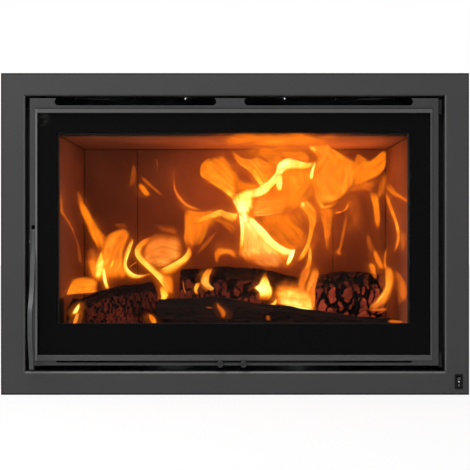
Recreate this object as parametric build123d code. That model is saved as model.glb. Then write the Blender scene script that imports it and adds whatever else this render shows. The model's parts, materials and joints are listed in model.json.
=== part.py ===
"""Wood-burning fireplace insert with a glazed, side-hinged door and two convection fans.

Millimetres, +Z up. The front faces -Y. Depths are measured backwards from the front face of the
trim frame, and depth() turns one into a Y coordinate. The feet and the lower edge of the trim
stand on Z = 0, and the origin is the middle of the bounding box's base.
"""
from build123d import *
import math
import os

# ---------------------------------------------------------------- driving dimensions
# Trim frame
TRIM_WIDTH = 800.0
TRIM_HEIGHT = 550.0
TRIM_SIDE_BAND = 41.5
TRIM_TOP_BAND = 39.0
TRIM_BOTTOM_BAND = 40.0
TRIM_DEPTH = 25.0
TRIM_SHEET = 2.5
TRIM_FOLD_RADIUS = 3.0
BRACKET_SHEET = 2.0
BRACKET_WIDTH = 26.0

# Casing behind the trim
CASING_MARGIN = 24.0
CASING_WIDTH = TRIM_WIDTH - 2 * CASING_MARGIN
CASING_BASE = 16.0
CASING_HEIGHT = TRIM_HEIGHT - 2 * CASING_BASE
CASING_FRONT = 12.0
CASING_REAR = 436.0
CASING_SHEET = 2.0
CASING_FLANGE = 15.0
FOOT_INSET_X = 46.0
FOOT_FRONT = 70.0
FOOT_REAR = 400.0
FOOT_RADIUS = 20.0
FOOT_PAD = 4.0
FOOT_STEM_RADIUS = 5.0
FOOT_NUT_ACROSS = 16.0
FOOT_NUT_HEIGHT = 6.0

# Firebox of welded plate
SIDE_AIR = 44.0
AIR_SPACE = 42.0
FIREBOX_WIDTH = CASING_WIDTH - 2 * SIDE_AIR
FIREBOX_BASE = CASING_BASE + AIR_SPACE
FIREBOX_HEIGHT = CASING_HEIGHT - 2 * AIR_SPACE
FIREBOX_FRONT = 30.0
FIREBOX_REAR = 404.0
PLATE = 4.0
MOUTH_SIDE = 22.0
MOUTH_LINTEL = 28.0
MOUTH_WIDTH = FIREBOX_WIDTH - 2 * MOUTH_SIDE
MOUTH_TOP = FIREBOX_BASE + FIREBOX_HEIGHT - MOUTH_LINTEL
MOUTH_CORNER = 10.0
RAIL_SPACING = 440.0
RAIL_WIDTH = 40.0
RAIL_SHEET = 3.0

# Refractory boards
BOARD = 25.0
HEARTH_BOARD = 28.0
BAFFLE_BOARD = 22.0
BAFFLE_DROP = 47.0
BAFFLE_BOTTOM = FIREBOX_BASE + FIREBOX_HEIGHT - BAFFLE_DROP
BAFFLE_SMOKE_GAP = 46.0
BACK_SIDE_WIDTH = 107.0
BOARD_GAP = 0.3
BOARD_SETBACK = 2.0
BED_HEIGHT = 16.0
BED_MARGIN = 21.0
BED_SLOPE = 34.0
BED_CORNER = 60.0
LOG_SIZE = 76.0

# Flue collar, sized for a 180 mm pipe that slips inside it
FLUE_BORE_RADIUS = 90.5
FLUE_WALL = 3.0
FLUE_RISE = 15.0
FLUE_TOP = TRIM_HEIGHT + FLUE_RISE
FLUE_DEPTH = 250.0
FLUE_FLANGE = 18.0
FLUE_BOLTS = 6
FLUE_LEDGE = 6.0

# Hot-air outlets in the casing top, closed by covers
OUTLET_RADIUS = 60.0
OUTLET_INSET = 131.0
OUTLET_DEPTH = 200.0
COVER_LAP = 9.0
COVER_SHEET = 1.5

# Door
DOOR_LEFT_GAP = 7.5
DOOR_RIGHT_GAP = 10.5
DOOR_TOP_GAP = 4.0
DOOR_BOTTOM_GAP = 10.0
DOOR_RECESS = 2.0
DOOR_SHEET = 3.0
DOOR_DEPTH = 24.0
BEZEL_PROUD = 1.5
BEZEL_SIDE = 3.4
BEZEL_TOP = 8.7
BEZEL_BOTTOM = 9.3
STILE_LEFT = 13.2
STILE_RIGHT = 13.9
TOP_STRIP = 25.2
BOTTOM_STRIP = 17.9
GLASS = 4.0
GLASS_LAP_SIDE = 3.2
GLASS_LAP_END = 6.0
GASKET = 1.0
CELL_WALL = 3.0
CELL_REAR = 22.0
BACK_FRAME = 3.0
PRINT_LEFT = 34.5
PRINT_RIGHT = 36.6
PRINT_TOP = 35.1
PRINT_BOTTOM = 53.3
ROPE_WIDTH = 8.0
ROPE_MARGIN = 8.0
ROPE_END_MARGIN = 3.0
ROPE_GAP = 0.3

# Slots in the door's top strip and the air slot in its bottom strip
VENT_HEIGHT = 13.2
VENT_CENTRE_DROP = 5.8
VENT_BRIDGE = (-32.2, 16.0)
VENT_INSET_LEFT = 42.6
VENT_INSET_RIGHT = 43.8
AIR_SLOT_INSET_LEFT = 45.4
AIR_SLOT_INSET_RIGHT = 45.9
AIR_SLOT_BASE = 5.5
AIR_SLOT_HEIGHT = 2.7

# Hinge
HINGE_OFFSET = 3.4
HINGE_DEPTH = 6.0
PIN_RADIUS = 2.0
PIN_CLEARANCE = 0.05
KNUCKLE_HEIGHT = 22.0
KNUCKLE_WALL = 1.35
KNUCKLE_GAP = 0.2
HINGE_ARM = 3.0
HINGE_FOOT_HEIGHT = 46.0
HINGE_FOOT_WIDTH = 22.5
HINGE_BOLT_OFFSET = 15.0

# Handle lever
LEVER_INSET = 6.3
LEVER_WIDTH = 5.8
GRIP_WIDTH = 7.4
LEVER_SLOT_WIDTH = 6.2
LEVER_PIVOT_DEPTH = 14.0
LEVER_PIVOT_HEIGHT = 262.0
LEVER_SLOT_TOP = LEVER_PIVOT_HEIGHT + 28.0
LEVER_SLOT_BOTTOM = LEVER_PIVOT_HEIGHT - 36.0
LEVER_PIN_RADIUS = 2.5
GRIP_FRONT = -35.0
GRIP_HEIGHT = LEVER_PIVOT_HEIGHT - 131.0
LEVER_FOOT_HEIGHT = LEVER_PIVOT_HEIGHT - 214.0
NOSE_DEPTH = 43.0
NOSE_TOP = LEVER_PIVOT_HEIGHT + 4.0
NOSE_THICKNESS = 9.0
KEEPER_GAP = 0.3
KEEPER_SHEET = 3.0
KEEPER_HEIGHT = 30.0

# Air controls
KNOB_RADIUS = 5.75
KNOB_LENGTH = 8.5
KNOB_DISH_RADIUS = 3.4
KNOB_DISH = 0.7
KNOB_HEIGHT = 53.1
KNOB_LEFT_X = -25.0
KNOB_RIGHT_X = 14.6
KNOB_GAP = 0.3
SHUTTER_LENGTH = 168.0
SHUTTER_SHEET = 1.9
SHUTTER_DEPTH = 13.0
SHUTTER_GAP = 0.3
AIR_HOLE_LENGTH = 28.0
AIR_HOLE_DEPTH = 7.0
AIR_HOLE_PITCH = 60.0

# Fan switch in the trim's bottom right corner
SWITCH_INSET = 18.0
SWITCH_X = TRIM_WIDTH / 2 - SWITCH_INSET
SWITCH_Z = 23.0
SWITCH_WIDTH = 13.7
SWITCH_HEIGHT = 25.1
SWITCH_LIP = 1.6
SWITCH_BODY_DEPTH = 18.0
SWITCH_RIM = 1.9
ROCKER_TILT = 8.0
ROCKER_PIN_RADIUS = 1.0

# Fans on the back
FAN_SIZE = 80.0
FAN_DEPTH = 38.0
FAN_BORE_RADIUS = 37.5
FAN_HOLE_SPACING = 71.5
FAN_OFFSET = 125.0
FAN_HEIGHT = 92.0
FAN_HUB_RADIUS = 18.0
FAN_SHAFT_RADIUS = 2.0
FAN_BLADES = 7
FAN_WALL = 2.5
GUARD_WIRE = 0.9
GUARD_RINGS = 4

# Terminal box on the back
TERMINAL_INSET = 114.0
TERMINAL_Z = 92.0
TERMINAL_WIDTH = 110.0
TERMINAL_HEIGHT = 70.0
TERMINAL_DEPTH = 34.0
GLAND_RADIUS = 8.0
CABLE_RADIUS = 3.6

# Fasteners
SCREW_RADIUS = 2.0
SCREW_HEAD_RADIUS = 3.8
SCREW_HEAD = 2.2
SCREW_LENGTH = 7.0
BOLT_RADIUS = 3.0
BOLT_HEAD_RADIUS = 5.5
BOLT_HEAD = 4.0

# ---------------------------------------------------------------- places worked out from them
GUARD_REAR = CASING_REAR + CASING_SHEET + FAN_DEPTH + 2 * GUARD_WIRE
FRONT_Y = -(GUARD_REAR + SCREW_HEAD + GRIP_FRONT) / 2

HALF_TRIM = TRIM_WIDTH / 2
HALF_OPENING = HALF_TRIM - TRIM_SIDE_BAND
OPENING_TOP = TRIM_HEIGHT - TRIM_TOP_BAND

HALF_CASING = CASING_WIDTH / 2
CASING_TOP = CASING_BASE + CASING_HEIGHT
OUTLET_OFFSET = HALF_CASING - OUTLET_INSET
TERMINAL_X = HALF_CASING - TERMINAL_INSET
CASING_SKIN = CASING_REAR + CASING_SHEET

HALF_BOX = FIREBOX_WIDTH / 2
FIREBOX_TOP = FIREBOX_BASE + FIREBOX_HEIGHT
BOX_INSIDE = FIREBOX_FRONT + PLATE
HEARTH_TOP = FIREBOX_BASE + PLATE + HEARTH_BOARD
HALF_LINED = HALF_BOX - PLATE
BACK_BOARD_FRONT = FIREBOX_REAR - PLATE - BOARD
CHAMBER_HALF = HALF_LINED - BOARD
BACK_CENTRE_WIDTH = 2 * CHAMBER_HALF - 2 * BACK_SIDE_WIDTH
CHAMBER_FRONT = BOX_INSIDE + BOARD_SETBACK
CHAMBER_DEPTH = BACK_BOARD_FRONT - CHAMBER_FRONT
BED_TOP = HEARTH_TOP + BED_HEIGHT

DOOR_LEFT = -HALF_OPENING + DOOR_LEFT_GAP
DOOR_RIGHT = HALF_OPENING - DOOR_RIGHT_GAP
DOOR_TOP = OPENING_TOP - DOOR_TOP_GAP
DOOR_BASE = TRIM_BOTTOM_BAND + DOOR_BOTTOM_GAP
DOOR_BACK = DOOR_RECESS + DOOR_SHEET
VENT_LEFT = (DOOR_LEFT + VENT_INSET_LEFT, VENT_BRIDGE[0])
VENT_RIGHT = (VENT_BRIDGE[1], DOOR_RIGHT - VENT_INSET_RIGHT)
AIR_SLOT = (DOOR_LEFT + AIR_SLOT_INSET_LEFT, DOOR_RIGHT - AIR_SLOT_INSET_RIGHT)
LEVER_X = DOOR_LEFT + LEVER_INSET
DOOR_REAR = DOOR_RECESS + DOOR_DEPTH

WINDOW = (DOOR_LEFT + STILE_LEFT, DOOR_RIGHT - STILE_RIGHT, DOOR_BASE + BOTTOM_STRIP, DOOR_TOP - TOP_STRIP)
BEZEL = (WINDOW[0] - BEZEL_SIDE, WINDOW[1] + BEZEL_SIDE, WINDOW[2] - BEZEL_BOTTOM, WINDOW[3] + BEZEL_TOP)
PANE = (
    WINDOW[0] - GLASS_LAP_SIDE,
    WINDOW[1] + GLASS_LAP_SIDE,
    WINDOW[2] - GLASS_LAP_END,
    WINDOW[3] + GLASS_LAP_END,
)
PANE_FRONT = DOOR_BACK + GASKET
PANE_REAR = PANE_FRONT + GLASS
# The cell is the deep ring behind the door plate that holds the glass
CELL_IN = (PANE[0] - 0.4, PANE[1] + 0.4, BEZEL[2] + CELL_WALL, PANE[3] + 0.6)
CELL_OUT = (CELL_IN[0] - CELL_WALL, CELL_IN[1] + CELL_WALL, BEZEL[2], CELL_IN[3] + CELL_WALL)
CLEAR = (WINDOW[0] + PRINT_LEFT, WINDOW[1] - PRINT_RIGHT, WINDOW[2] + PRINT_BOTTOM, WINDOW[3] - PRINT_TOP)
BACK_FRAME_REAR = CELL_REAR + BACK_FRAME
HALF_MOUTH = MOUTH_WIDTH / 2
ROPE_IN = (
    -HALF_MOUTH - ROPE_MARGIN,
    HALF_MOUTH + ROPE_MARGIN,
    HEARTH_TOP - ROPE_END_MARGIN,
    MOUTH_TOP + ROPE_END_MARGIN,
)
ROPE_OUT = (
    ROPE_IN[0] - ROPE_WIDTH,
    ROPE_IN[1] + ROPE_WIDTH,
    ROPE_IN[2] - ROPE_WIDTH,
    ROPE_IN[3] + ROPE_WIDTH,
)

HINGE_X = DOOR_RIGHT + HINGE_OFFSET
BORE_RADIUS = PIN_RADIUS + PIN_CLEARANCE
KNUCKLE_BASES = (DOOR_BASE + KNUCKLE_GAP, DOOR_TOP - 2 - KNUCKLE_HEIGHT)

SCREW_SIDE_DEPTHS = (60.0, 230.0, 400.0)
SCREW_REAR_HEIGHTS = tuple(CASING_BASE + share * CASING_HEIGHT for share in (0.1236, 0.3745, 0.6255, 0.8764))
BRACKET_HEIGHTS = (TRIM_HEIGHT / 2 - 125, TRIM_HEIGHT / 2 + 125)
BRACKET_OFFSETS = (-0.3 * TRIM_WIDTH, 0.3 * TRIM_WIDTH)
LUG_SIZE = 12.0
LUG_OFFSETS = tuple(share * TRIM_WIDTH for share in (-0.3125, -0.10625, 0.10625, 0.3125))
LUG_HEIGHTS = (DOOR_BASE + 100, DOOR_TOP - 127)
CLIP_OFFSETS = (-0.25 * TRIM_WIDTH, 0.0, 0.25 * TRIM_WIDTH)
CLIP_SCREW = 7.0
CLIP_SHEET = 2.0
CLIP_LIP = 11.0
CLIP_WIDTH = 18.0

PARTS = {}


def depth(d):
    """Y of a depth behind the trim's front face."""
    return FRONT_Y + d


def block(x0, x1, d0, d1, z0, z1):
    """Box between two X values, two depths and two heights."""
    middle = Pos((x0 + x1) / 2, depth((d0 + d1) / 2), (z0 + z1) / 2)
    return middle * Box(x1 - x0, d1 - d0, z1 - z0)


def ring(outer, inner, d0, d1):
    """Rectangular ring facing forwards: outer and inner are (left, right, bottom, top)."""
    solid = block(outer[0], outer[1], d0, d1, outer[2], outer[3])
    return solid - block(inner[0], inner[1], d0 - 1, d1 + 1, inner[2], inner[3])


def rod_x(d, z, radius, x0, x1):
    return Pos((x0 + x1) / 2, depth(d), z) * Rot(0, 90, 0) * Cylinder(radius, x1 - x0)


def rod_y(x, z, radius, d0, d1):
    return Pos(x, depth((d0 + d1) / 2), z) * Rot(90, 0, 0) * Cylinder(radius, d1 - d0)


def rod_z(x, d, radius, z0, z1):
    return Pos(x, depth(d), (z0 + z1) / 2) * Cylinder(radius, z1 - z0)


def screw(x, d, z, outward, length=SCREW_LENGTH):
    """Pan-head screw with a cross recess. Its head stands outward from the point x, d, z."""
    up = Align.CENTER, Align.CENTER, Align.MIN
    down = Align.CENTER, Align.CENTER, Align.MAX
    head = Cylinder(SCREW_HEAD_RADIUS, SCREW_HEAD, align=up)
    head = fillet(head.edges().group_by(Axis.Z)[-1], SCREW_HEAD * 0.6)
    recess = Box(SCREW_HEAD_RADIUS, 0.9, 1.2, align=down) + Box(0.9, SCREW_HEAD_RADIUS, 1.2, align=down)
    head -= Pos(0, 0, SCREW_HEAD) * recess
    shape = head + Cylinder(SCREW_RADIUS, length, align=down)
    return Plane(origin=(x, depth(d), z), z_dir=outward) * shape


def screw_hole(x, d, z, outward, reach=12.0):
    """Hole that a screw's shank fills."""
    shank = Cylinder(SCREW_RADIUS, 2 * reach)
    return Plane(origin=(x, depth(d), z), z_dir=outward) * shank


def bolt(x, d, z, outward, length):
    """Hexagon-head bolt whose head stands outward from the point x, d, z."""
    head = extrude(RegularPolygon(BOLT_HEAD_RADIUS, 6), BOLT_HEAD)
    shank = Cylinder(BOLT_RADIUS, length, align=(Align.CENTER, Align.CENTER, Align.MAX))
    return Plane(origin=(x, depth(d), z), z_dir=outward) * (head + shank)


def keep(node, *shapes):
    """Adds solids to a node. Fasteners of one kind are added to the same node from several places."""
    for shape in shapes:
        PARTS.setdefault(node, []).extend(shape.solids())


# ---------------------------------------------------------------- trim frame
def make_trim():
    frame = block(-HALF_TRIM, HALF_TRIM, 0, TRIM_DEPTH, 0, TRIM_HEIGHT)
    opening = (-HALF_OPENING, HALF_OPENING, TRIM_BOTTOM_BAND, OPENING_TOP)
    frame -= block(opening[0], opening[1], -1, TRIM_DEPTH + 1, opening[2], opening[3])
    frame = fillet(frame.faces().sort_by(Axis.Y)[0].edges(), TRIM_FOLD_RADIUS)
    sheet = TRIM_SHEET
    hollow = block(-HALF_TRIM + sheet, HALF_TRIM - sheet, sheet, TRIM_DEPTH + 1, sheet, TRIM_HEIGHT - sheet)
    hollow -= block(
        opening[0] - sheet, opening[1] + sheet, 0, TRIM_DEPTH + 2, opening[2] - sheet, opening[3] + sheet
    )
    frame -= hollow
    half_w = SWITCH_WIDTH / 2 - SWITCH_LIP
    half_h = SWITCH_HEIGHT / 2 - SWITCH_LIP
    frame -= block(SWITCH_X - half_w, SWITCH_X + half_w, -1, sheet + 1, SWITCH_Z - half_h, SWITCH_Z + half_h)
    keep("trim_frame", frame)


def trim_bracket_places():
    """Points on the casing's skin, with the direction away from the casing."""
    places = []
    for side in (-1, 1):
        places += [((side * HALF_CASING, z), (side, 0, 0)) for z in BRACKET_HEIGHTS]
    for x in BRACKET_OFFSETS:
        places.append(((x, CASING_TOP), (0, 0, 1)))
    return places


def make_trim_brackets():
    """Angles on the back of the trim, screwed to the outside of the casing."""
    leg, width = BRACKET_SHEET, BRACKET_WIDTH
    brackets, screws = [], []
    for (x, z), out in trim_bracket_places():
        reach = (HALF_TRIM - TRIM_SHEET - HALF_CASING) if out[0] else (TRIM_HEIGHT - TRIM_SHEET - CASING_TOP)
        reach -= 1.0
        along = width / 2
        if out[0]:
            inner, outer = sorted((x, x + out[0] * reach))
            skin = sorted((x, x + out[0] * leg))
            front = block(inner, outer, TRIM_SHEET, TRIM_SHEET + leg, z - along, z + along)
            side = block(skin[0], skin[1], TRIM_SHEET, TRIM_DEPTH - 1, z - along, z + along)
        else:
            front = block(x - along, x + along, TRIM_SHEET, TRIM_SHEET + leg, z, z + reach)
            side = block(x - along, x + along, TRIM_SHEET, TRIM_DEPTH - 1, z, z + leg)
        place = (x + out[0] * leg, TRIM_DEPTH - 6, z + out[2] * leg)
        brackets.append(front + side - screw_hole(*place, out))
        screws.append(screw(*place, out))
    keep("trim_brackets", *brackets)
    keep("casing_screws", *screws)


def trim_screw_holes():
    holes = []
    for (x, z), out in trim_bracket_places():
        holes.append(screw_hole(x, TRIM_DEPTH - 6, z, out))
    return holes


# ---------------------------------------------------------------- casing
def casing_side_screws(side):
    """Screws through one side sheet into the flanges of the top and bottom sheets."""
    low = CASING_BASE + CASING_SHEET + CASING_FLANGE / 2
    high = CASING_TOP - CASING_SHEET - CASING_FLANGE / 2
    return [(side * HALF_CASING, d, z, (side, 0, 0)) for d in SCREW_SIDE_DEPTHS for z in (low, high)]


def casing_rear_screws(side):
    """Screws through the back sheet into the rear flange of one side sheet."""
    x = side * (HALF_CASING - CASING_SHEET - CASING_FLANGE / 2)
    return [(x, CASING_SKIN, z, (0, 1, 0)) for z in SCREW_REAR_HEIGHTS]


def outlet_screws():
    """Screws round the covers of the two hot-air outlets."""
    places = []
    for side in (-1, 1):
        for turn in range(3):
            angle = math.radians(30 + 120 * turn)
            radius = OUTLET_RADIUS + COVER_LAP / 2
            x = side * OUTLET_OFFSET + radius * math.cos(angle)
            d = OUTLET_DEPTH + radius * math.sin(angle)
            places.append((x, d, CASING_TOP + COVER_SHEET, (0, 0, 1)))
    return places


def make_casing():
    sheet, flange = CASING_SHEET, CASING_FLANGE
    inside = HALF_CASING - sheet
    low, high = CASING_BASE + sheet, CASING_TOP - sheet
    screws = outlet_screws()
    for side, node in ((-1, "casing_left"), (1, "casing_right")):
        x0, x1 = sorted((side * inside, side * HALF_CASING))
        f0, f1 = sorted((side * (inside - flange), side * inside))
        wall = block(x0, x1, CASING_FRONT, CASING_REAR, low, high)
        wall += block(f0, f1, CASING_REAR - sheet, CASING_REAR, low, high)
        places = casing_side_screws(side) + casing_rear_screws(side)
        for hole in [screw_hole(*place) for place in places] + trim_screw_holes():
            wall -= hole
        screws += places
        keep(node, wall)

    def level(z0, z1, flange_z0, flange_z1):
        plate = block(-HALF_CASING, HALF_CASING, CASING_FRONT, CASING_REAR, z0, z1)
        for side in (-1, 1):
            x0, x1 = sorted((side * (inside - sheet), side * inside))
            plate += block(x0, x1, CASING_FRONT + 22, CASING_REAR - 10, flange_z0, flange_z1)
            for place in casing_side_screws(side):
                plate -= screw_hole(*place)
        return plate

    top = level(high, CASING_TOP, high - flange, high)
    top -= rod_z(0, FLUE_DEPTH, FLUE_BORE_RADIUS + FLUE_WALL + 3, high - 1, CASING_TOP + 1)
    for side in (-1, 1):
        top -= rod_z(side * OUTLET_OFFSET, OUTLET_DEPTH, OUTLET_RADIUS, high - 1, CASING_TOP + 1)
    for hole in [screw_hole(*place) for place in outlet_screws()] + trim_screw_holes():
        top -= hole
    keep("casing_top", top)

    bottom = level(CASING_BASE, low, low, low + flange)
    for x, d in foot_places():
        bottom -= rod_z(x, d, FOOT_STEM_RADIUS, CASING_BASE - 1, low + 1)
    keep("casing_bottom", bottom)

    back = block(-HALF_CASING, HALF_CASING, CASING_REAR, CASING_SKIN, CASING_BASE, CASING_TOP)
    for side in (-1, 1):
        back -= rod_y(side * FAN_OFFSET, FAN_HEIGHT, FAN_BORE_RADIUS, CASING_REAR - 1, CASING_SKIN + 1)
        for place in casing_rear_screws(side):
            back -= screw_hole(*place)
    for x, z in fan_screw_places():
        back -= rod_y(x, z, SCREW_RADIUS, CASING_REAR - 1, CASING_SKIN + 1)
    keep("casing_back", back)

    keep("casing_screws", *[screw(*place) for place in screws])
    covers = []
    for side in (-1, 1):
        centre = side * OUTLET_OFFSET
        cover = rod_z(centre, OUTLET_DEPTH, OUTLET_RADIUS + COVER_LAP, CASING_TOP, CASING_TOP + COVER_SHEET)
        for place in outlet_screws():
            cover -= screw_hole(*place)
        covers.append(cover)
    keep("hot_air_covers", *covers)


def foot_places():
    x = HALF_CASING - FOOT_INSET_X
    return [(side * x, d) for side in (-1, 1) for d in (FOOT_FRONT, FOOT_REAR)]


def make_feet():
    """Levelling feet: a pad on a threaded stem, locked by a nut above and one below the sheet."""
    feet, nuts = [], []
    low = CASING_BASE + CASING_SHEET
    for x, d in foot_places():
        foot = rod_z(x, d, FOOT_RADIUS, 0, FOOT_PAD)
        foot = chamfer(foot.edges().group_by(Axis.Z)[-1], 1.0)
        feet.append(foot + rod_z(x, d, FOOT_STEM_RADIUS, FOOT_PAD, low + FOOT_NUT_HEIGHT + 4))
        for base in (CASING_BASE - FOOT_NUT_HEIGHT, low):
            nut = extrude(RegularPolygon(FOOT_NUT_ACROSS / 2, 6, major_radius=False), FOOT_NUT_HEIGHT)
            nut -= Cylinder(FOOT_STEM_RADIUS, 3 * FOOT_NUT_HEIGHT)
            nuts.append(Pos(x, depth(d), base) * nut)
    keep("levelling_feet", *feet)
    keep("foot_nuts", *nuts)


# ---------------------------------------------------------------- firebox
def make_firebox():
    inner = HALF_BOX - PLATE
    base, top = FIREBOX_BASE + PLATE, FIREBOX_TOP - PLATE
    keep("firebox_floor", block(-HALF_BOX, HALF_BOX, BOX_INSIDE, FIREBOX_REAR, FIREBOX_BASE, base))
    for x0, x1 in ((-HALF_BOX, -inner), (inner, HALF_BOX)):
        keep("firebox_sides", block(x0, x1, BOX_INSIDE, FIREBOX_REAR, base, top))
    keep("firebox_back", block(-inner, inner, FIREBOX_REAR - PLATE, FIREBOX_REAR, base, top))
    roof = block(-HALF_BOX, HALF_BOX, BOX_INSIDE, FIREBOX_REAR, top, FIREBOX_TOP)
    roof -= rod_z(0, FLUE_DEPTH, FLUE_BORE_RADIUS - FLUE_LEDGE, top - 1, FIREBOX_TOP + 1)
    for x, d in flue_bolt_places():
        roof -= rod_z(x, d, BOLT_RADIUS, top - 1, FIREBOX_TOP + 1)
    keep("firebox_roof", roof)

    wide = HALF_CASING - CASING_SHEET
    front = block(-wide, wide, FIREBOX_FRONT, BOX_INSIDE, FIREBOX_BASE, FIREBOX_TOP)
    mouth = block(-HALF_MOUTH, HALF_MOUTH, FIREBOX_FRONT - 1, BOX_INSIDE + 1, HEARTH_TOP, MOUTH_TOP)
    front -= fillet(mouth.edges().filter_by(Axis.Y), MOUTH_CORNER)
    half_nose = LEVER_WIDTH / 2 + 3
    front -= block(
        LEVER_X - half_nose,
        LEVER_X + half_nose,
        FIREBOX_FRONT - 1,
        BOX_INSIDE + 1,
        NOSE_TOP - NOSE_THICKNESS - 20,
        NOSE_TOP + KEEPER_GAP + KEEPER_SHEET,
    )
    for place in hinge_bolt_places():
        front -= rod_y(place[0], place[1], BOLT_RADIUS, FIREBOX_FRONT - 1, BOX_INSIDE + 1)
    for place in keeper_screw_places():
        front -= rod_y(place[0], place[1], SCREW_RADIUS, FIREBOX_FRONT - 1, BOX_INSIDE + 1)
    keep("firebox_front", front)

    rails = []
    low = CASING_BASE + CASING_SHEET
    for side in (-1, 1):
        centre = side * RAIL_SPACING / 2
        rail = block(
            centre - RAIL_WIDTH / 2,
            centre + RAIL_WIDTH / 2,
            BOX_INSIDE + 30,
            FIREBOX_REAR - 20,
            low,
            FIREBOX_BASE,
        )
        rail -= block(
            centre - RAIL_WIDTH / 2 + RAIL_SHEET,
            centre + RAIL_WIDTH / 2 - RAIL_SHEET,
            BOX_INSIDE,
            FIREBOX_REAR,
            low + RAIL_SHEET,
            FIREBOX_BASE + 1,
        )
        rails.append(rail)
    keep("firebox_rails", *rails)


def make_linings():
    base = FIREBOX_BASE + PLATE
    wall = CHAMBER_HALF
    front = CHAMBER_FRONT
    hearth = block(-HALF_LINED, HALF_LINED, front, FIREBOX_REAR - PLATE, base, HEARTH_TOP)
    keep("hearth_slab", hearth)
    for x0, x1 in ((-HALF_LINED, -wall), (wall, HALF_LINED)):
        keep("lining_sides", block(x0, x1, front, FIREBOX_REAR - PLATE, HEARTH_TOP, BAFFLE_BOTTOM))
    middle = BACK_CENTRE_WIDTH / 2
    spans = (
        ("lining_back_left", -wall, -middle - BOARD_GAP),
        ("lining_back_centre", -middle, middle),
        ("lining_back_right", middle + BOARD_GAP, wall),
    )
    for node, x0, x1 in spans:
        panel = block(x0, x1, BACK_BOARD_FRONT, FIREBOX_REAR - PLATE, HEARTH_TOP, BAFFLE_BOTTOM)
        panel = chamfer(panel.faces().sort_by(Axis.Y)[0].edges().filter_by(Axis.Z), 1.5)
        keep(node, panel)
    baffle_front = BOX_INSIDE + BAFFLE_SMOKE_GAP
    baffle = block(
        -HALF_LINED + 2,
        HALF_LINED - 2,
        baffle_front,
        FIREBOX_REAR - PLATE,
        BAFFLE_BOTTOM,
        BAFFLE_BOTTOM + BAFFLE_BOARD,
    )
    keep("baffle", chamfer(baffle.faces().sort_by(Axis.Y)[0].edges().filter_by(Axis.X), 2.0))


def flue_bolt_places():
    radius = FLUE_BORE_RADIUS + FLUE_WALL + FLUE_FLANGE * 0.55
    turns = [math.radians(30 + 360 * i / FLUE_BOLTS) for i in range(FLUE_BOLTS)]
    return [(radius * math.cos(t), FLUE_DEPTH + radius * math.sin(t)) for t in turns]


def make_flue():
    outer = FLUE_BORE_RADIUS + FLUE_WALL
    collar = rod_z(0, FLUE_DEPTH, outer, FIREBOX_TOP, FLUE_TOP)
    collar += rod_z(0, FLUE_DEPTH, outer + FLUE_FLANGE, FIREBOX_TOP, FIREBOX_TOP + PLATE)
    collar -= rod_z(0, FLUE_DEPTH, FLUE_BORE_RADIUS, FIREBOX_TOP - 1, FLUE_TOP + 1)
    bolts = []
    for x, d in flue_bolt_places():
        collar -= rod_z(x, d, BOLT_RADIUS, FIREBOX_TOP - 1, FIREBOX_TOP + PLATE + 1)
        bolts.append(bolt(x, d, FIREBOX_TOP + PLATE, (0, 0, 1), 2 * PLATE + 4))
    keep("flue_collar", collar)
    keep("firebox_bolts", *bolts)


# ---------------------------------------------------------------- door
def vent(span):
    """One slot with round ends near the top edge of the door."""
    radius = VENT_HEIGHT / 2
    z = DOOR_TOP - VENT_CENTRE_DROP
    slot = block(span[0] + radius, span[1] - radius, -5, DOOR_BACK + 1, z - radius, z + radius)
    for x in (span[0] + radius, span[1] - radius):
        slot += rod_y(x, z, radius, -5, DOOR_BACK + 1)
    return slot


def air_slot():
    base = DOOR_BASE + AIR_SLOT_BASE
    return block(AIR_SLOT[0], AIR_SLOT[1], -5, DOOR_BACK + 0.01, base, base + AIR_SLOT_HEIGHT)


def make_door_plate():
    plate = block(DOOR_LEFT, DOOR_RIGHT, DOOR_RECESS, DOOR_BACK, DOOR_BASE, DOOR_TOP)
    plate = fillet(plate.faces().sort_by(Axis.Y)[0].edges(), 1.0)
    for x0, x1 in ((DOOR_LEFT, DOOR_LEFT + DOOR_SHEET), (DOOR_RIGHT - DOOR_SHEET, DOOR_RIGHT)):
        plate += block(x0, x1, DOOR_BACK, DOOR_REAR, DOOR_BASE, DOOR_TOP)
    window = block(WINDOW[0], WINDOW[1], 0, DOOR_BACK + 1, WINDOW[2], WINDOW[3])
    plate -= window
    for cut in (vent(VENT_LEFT), vent(VENT_RIGHT), air_slot()):
        plate -= cut
    half = LEVER_SLOT_WIDTH / 2
    plate -= block(LEVER_X - half, LEVER_X + half, 0, DOOR_BACK + 1, LEVER_SLOT_BOTTOM, LEVER_SLOT_TOP)
    plate -= rod_x(LEVER_PIVOT_DEPTH, LEVER_PIVOT_HEIGHT, LEVER_PIN_RADIUS, DOOR_LEFT - 1, DOOR_LEFT + 4)
    keep("door_plate", plate)

    bezel = ring(BEZEL, WINDOW, DOOR_RECESS - BEZEL_PROUD, DOOR_RECESS)
    keep("glass_bezel", chamfer(bezel.faces().sort_by(Axis.Y)[0].edges(), 0.4))


def lug_places():
    """Centres of the lugs that take the back frame's screws."""
    half = LUG_SIZE / 2
    places = [(x, CELL_IN[2] + half) for x in LUG_OFFSETS]
    places += [(x, CELL_IN[3] - half) for x in LUG_OFFSETS]
    places += [(CELL_IN[0] + half, z) for z in LUG_HEIGHTS]
    places += [(CELL_IN[1] - half, z) for z in LUG_HEIGHTS]
    return places


def air_hole_centres(knob_x, direction):
    """Middles of the air holes under one control's shutter."""
    return [knob_x + direction * (20 + AIR_HOLE_PITCH * (i + 0.5)) for i in range(2)]


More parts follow.
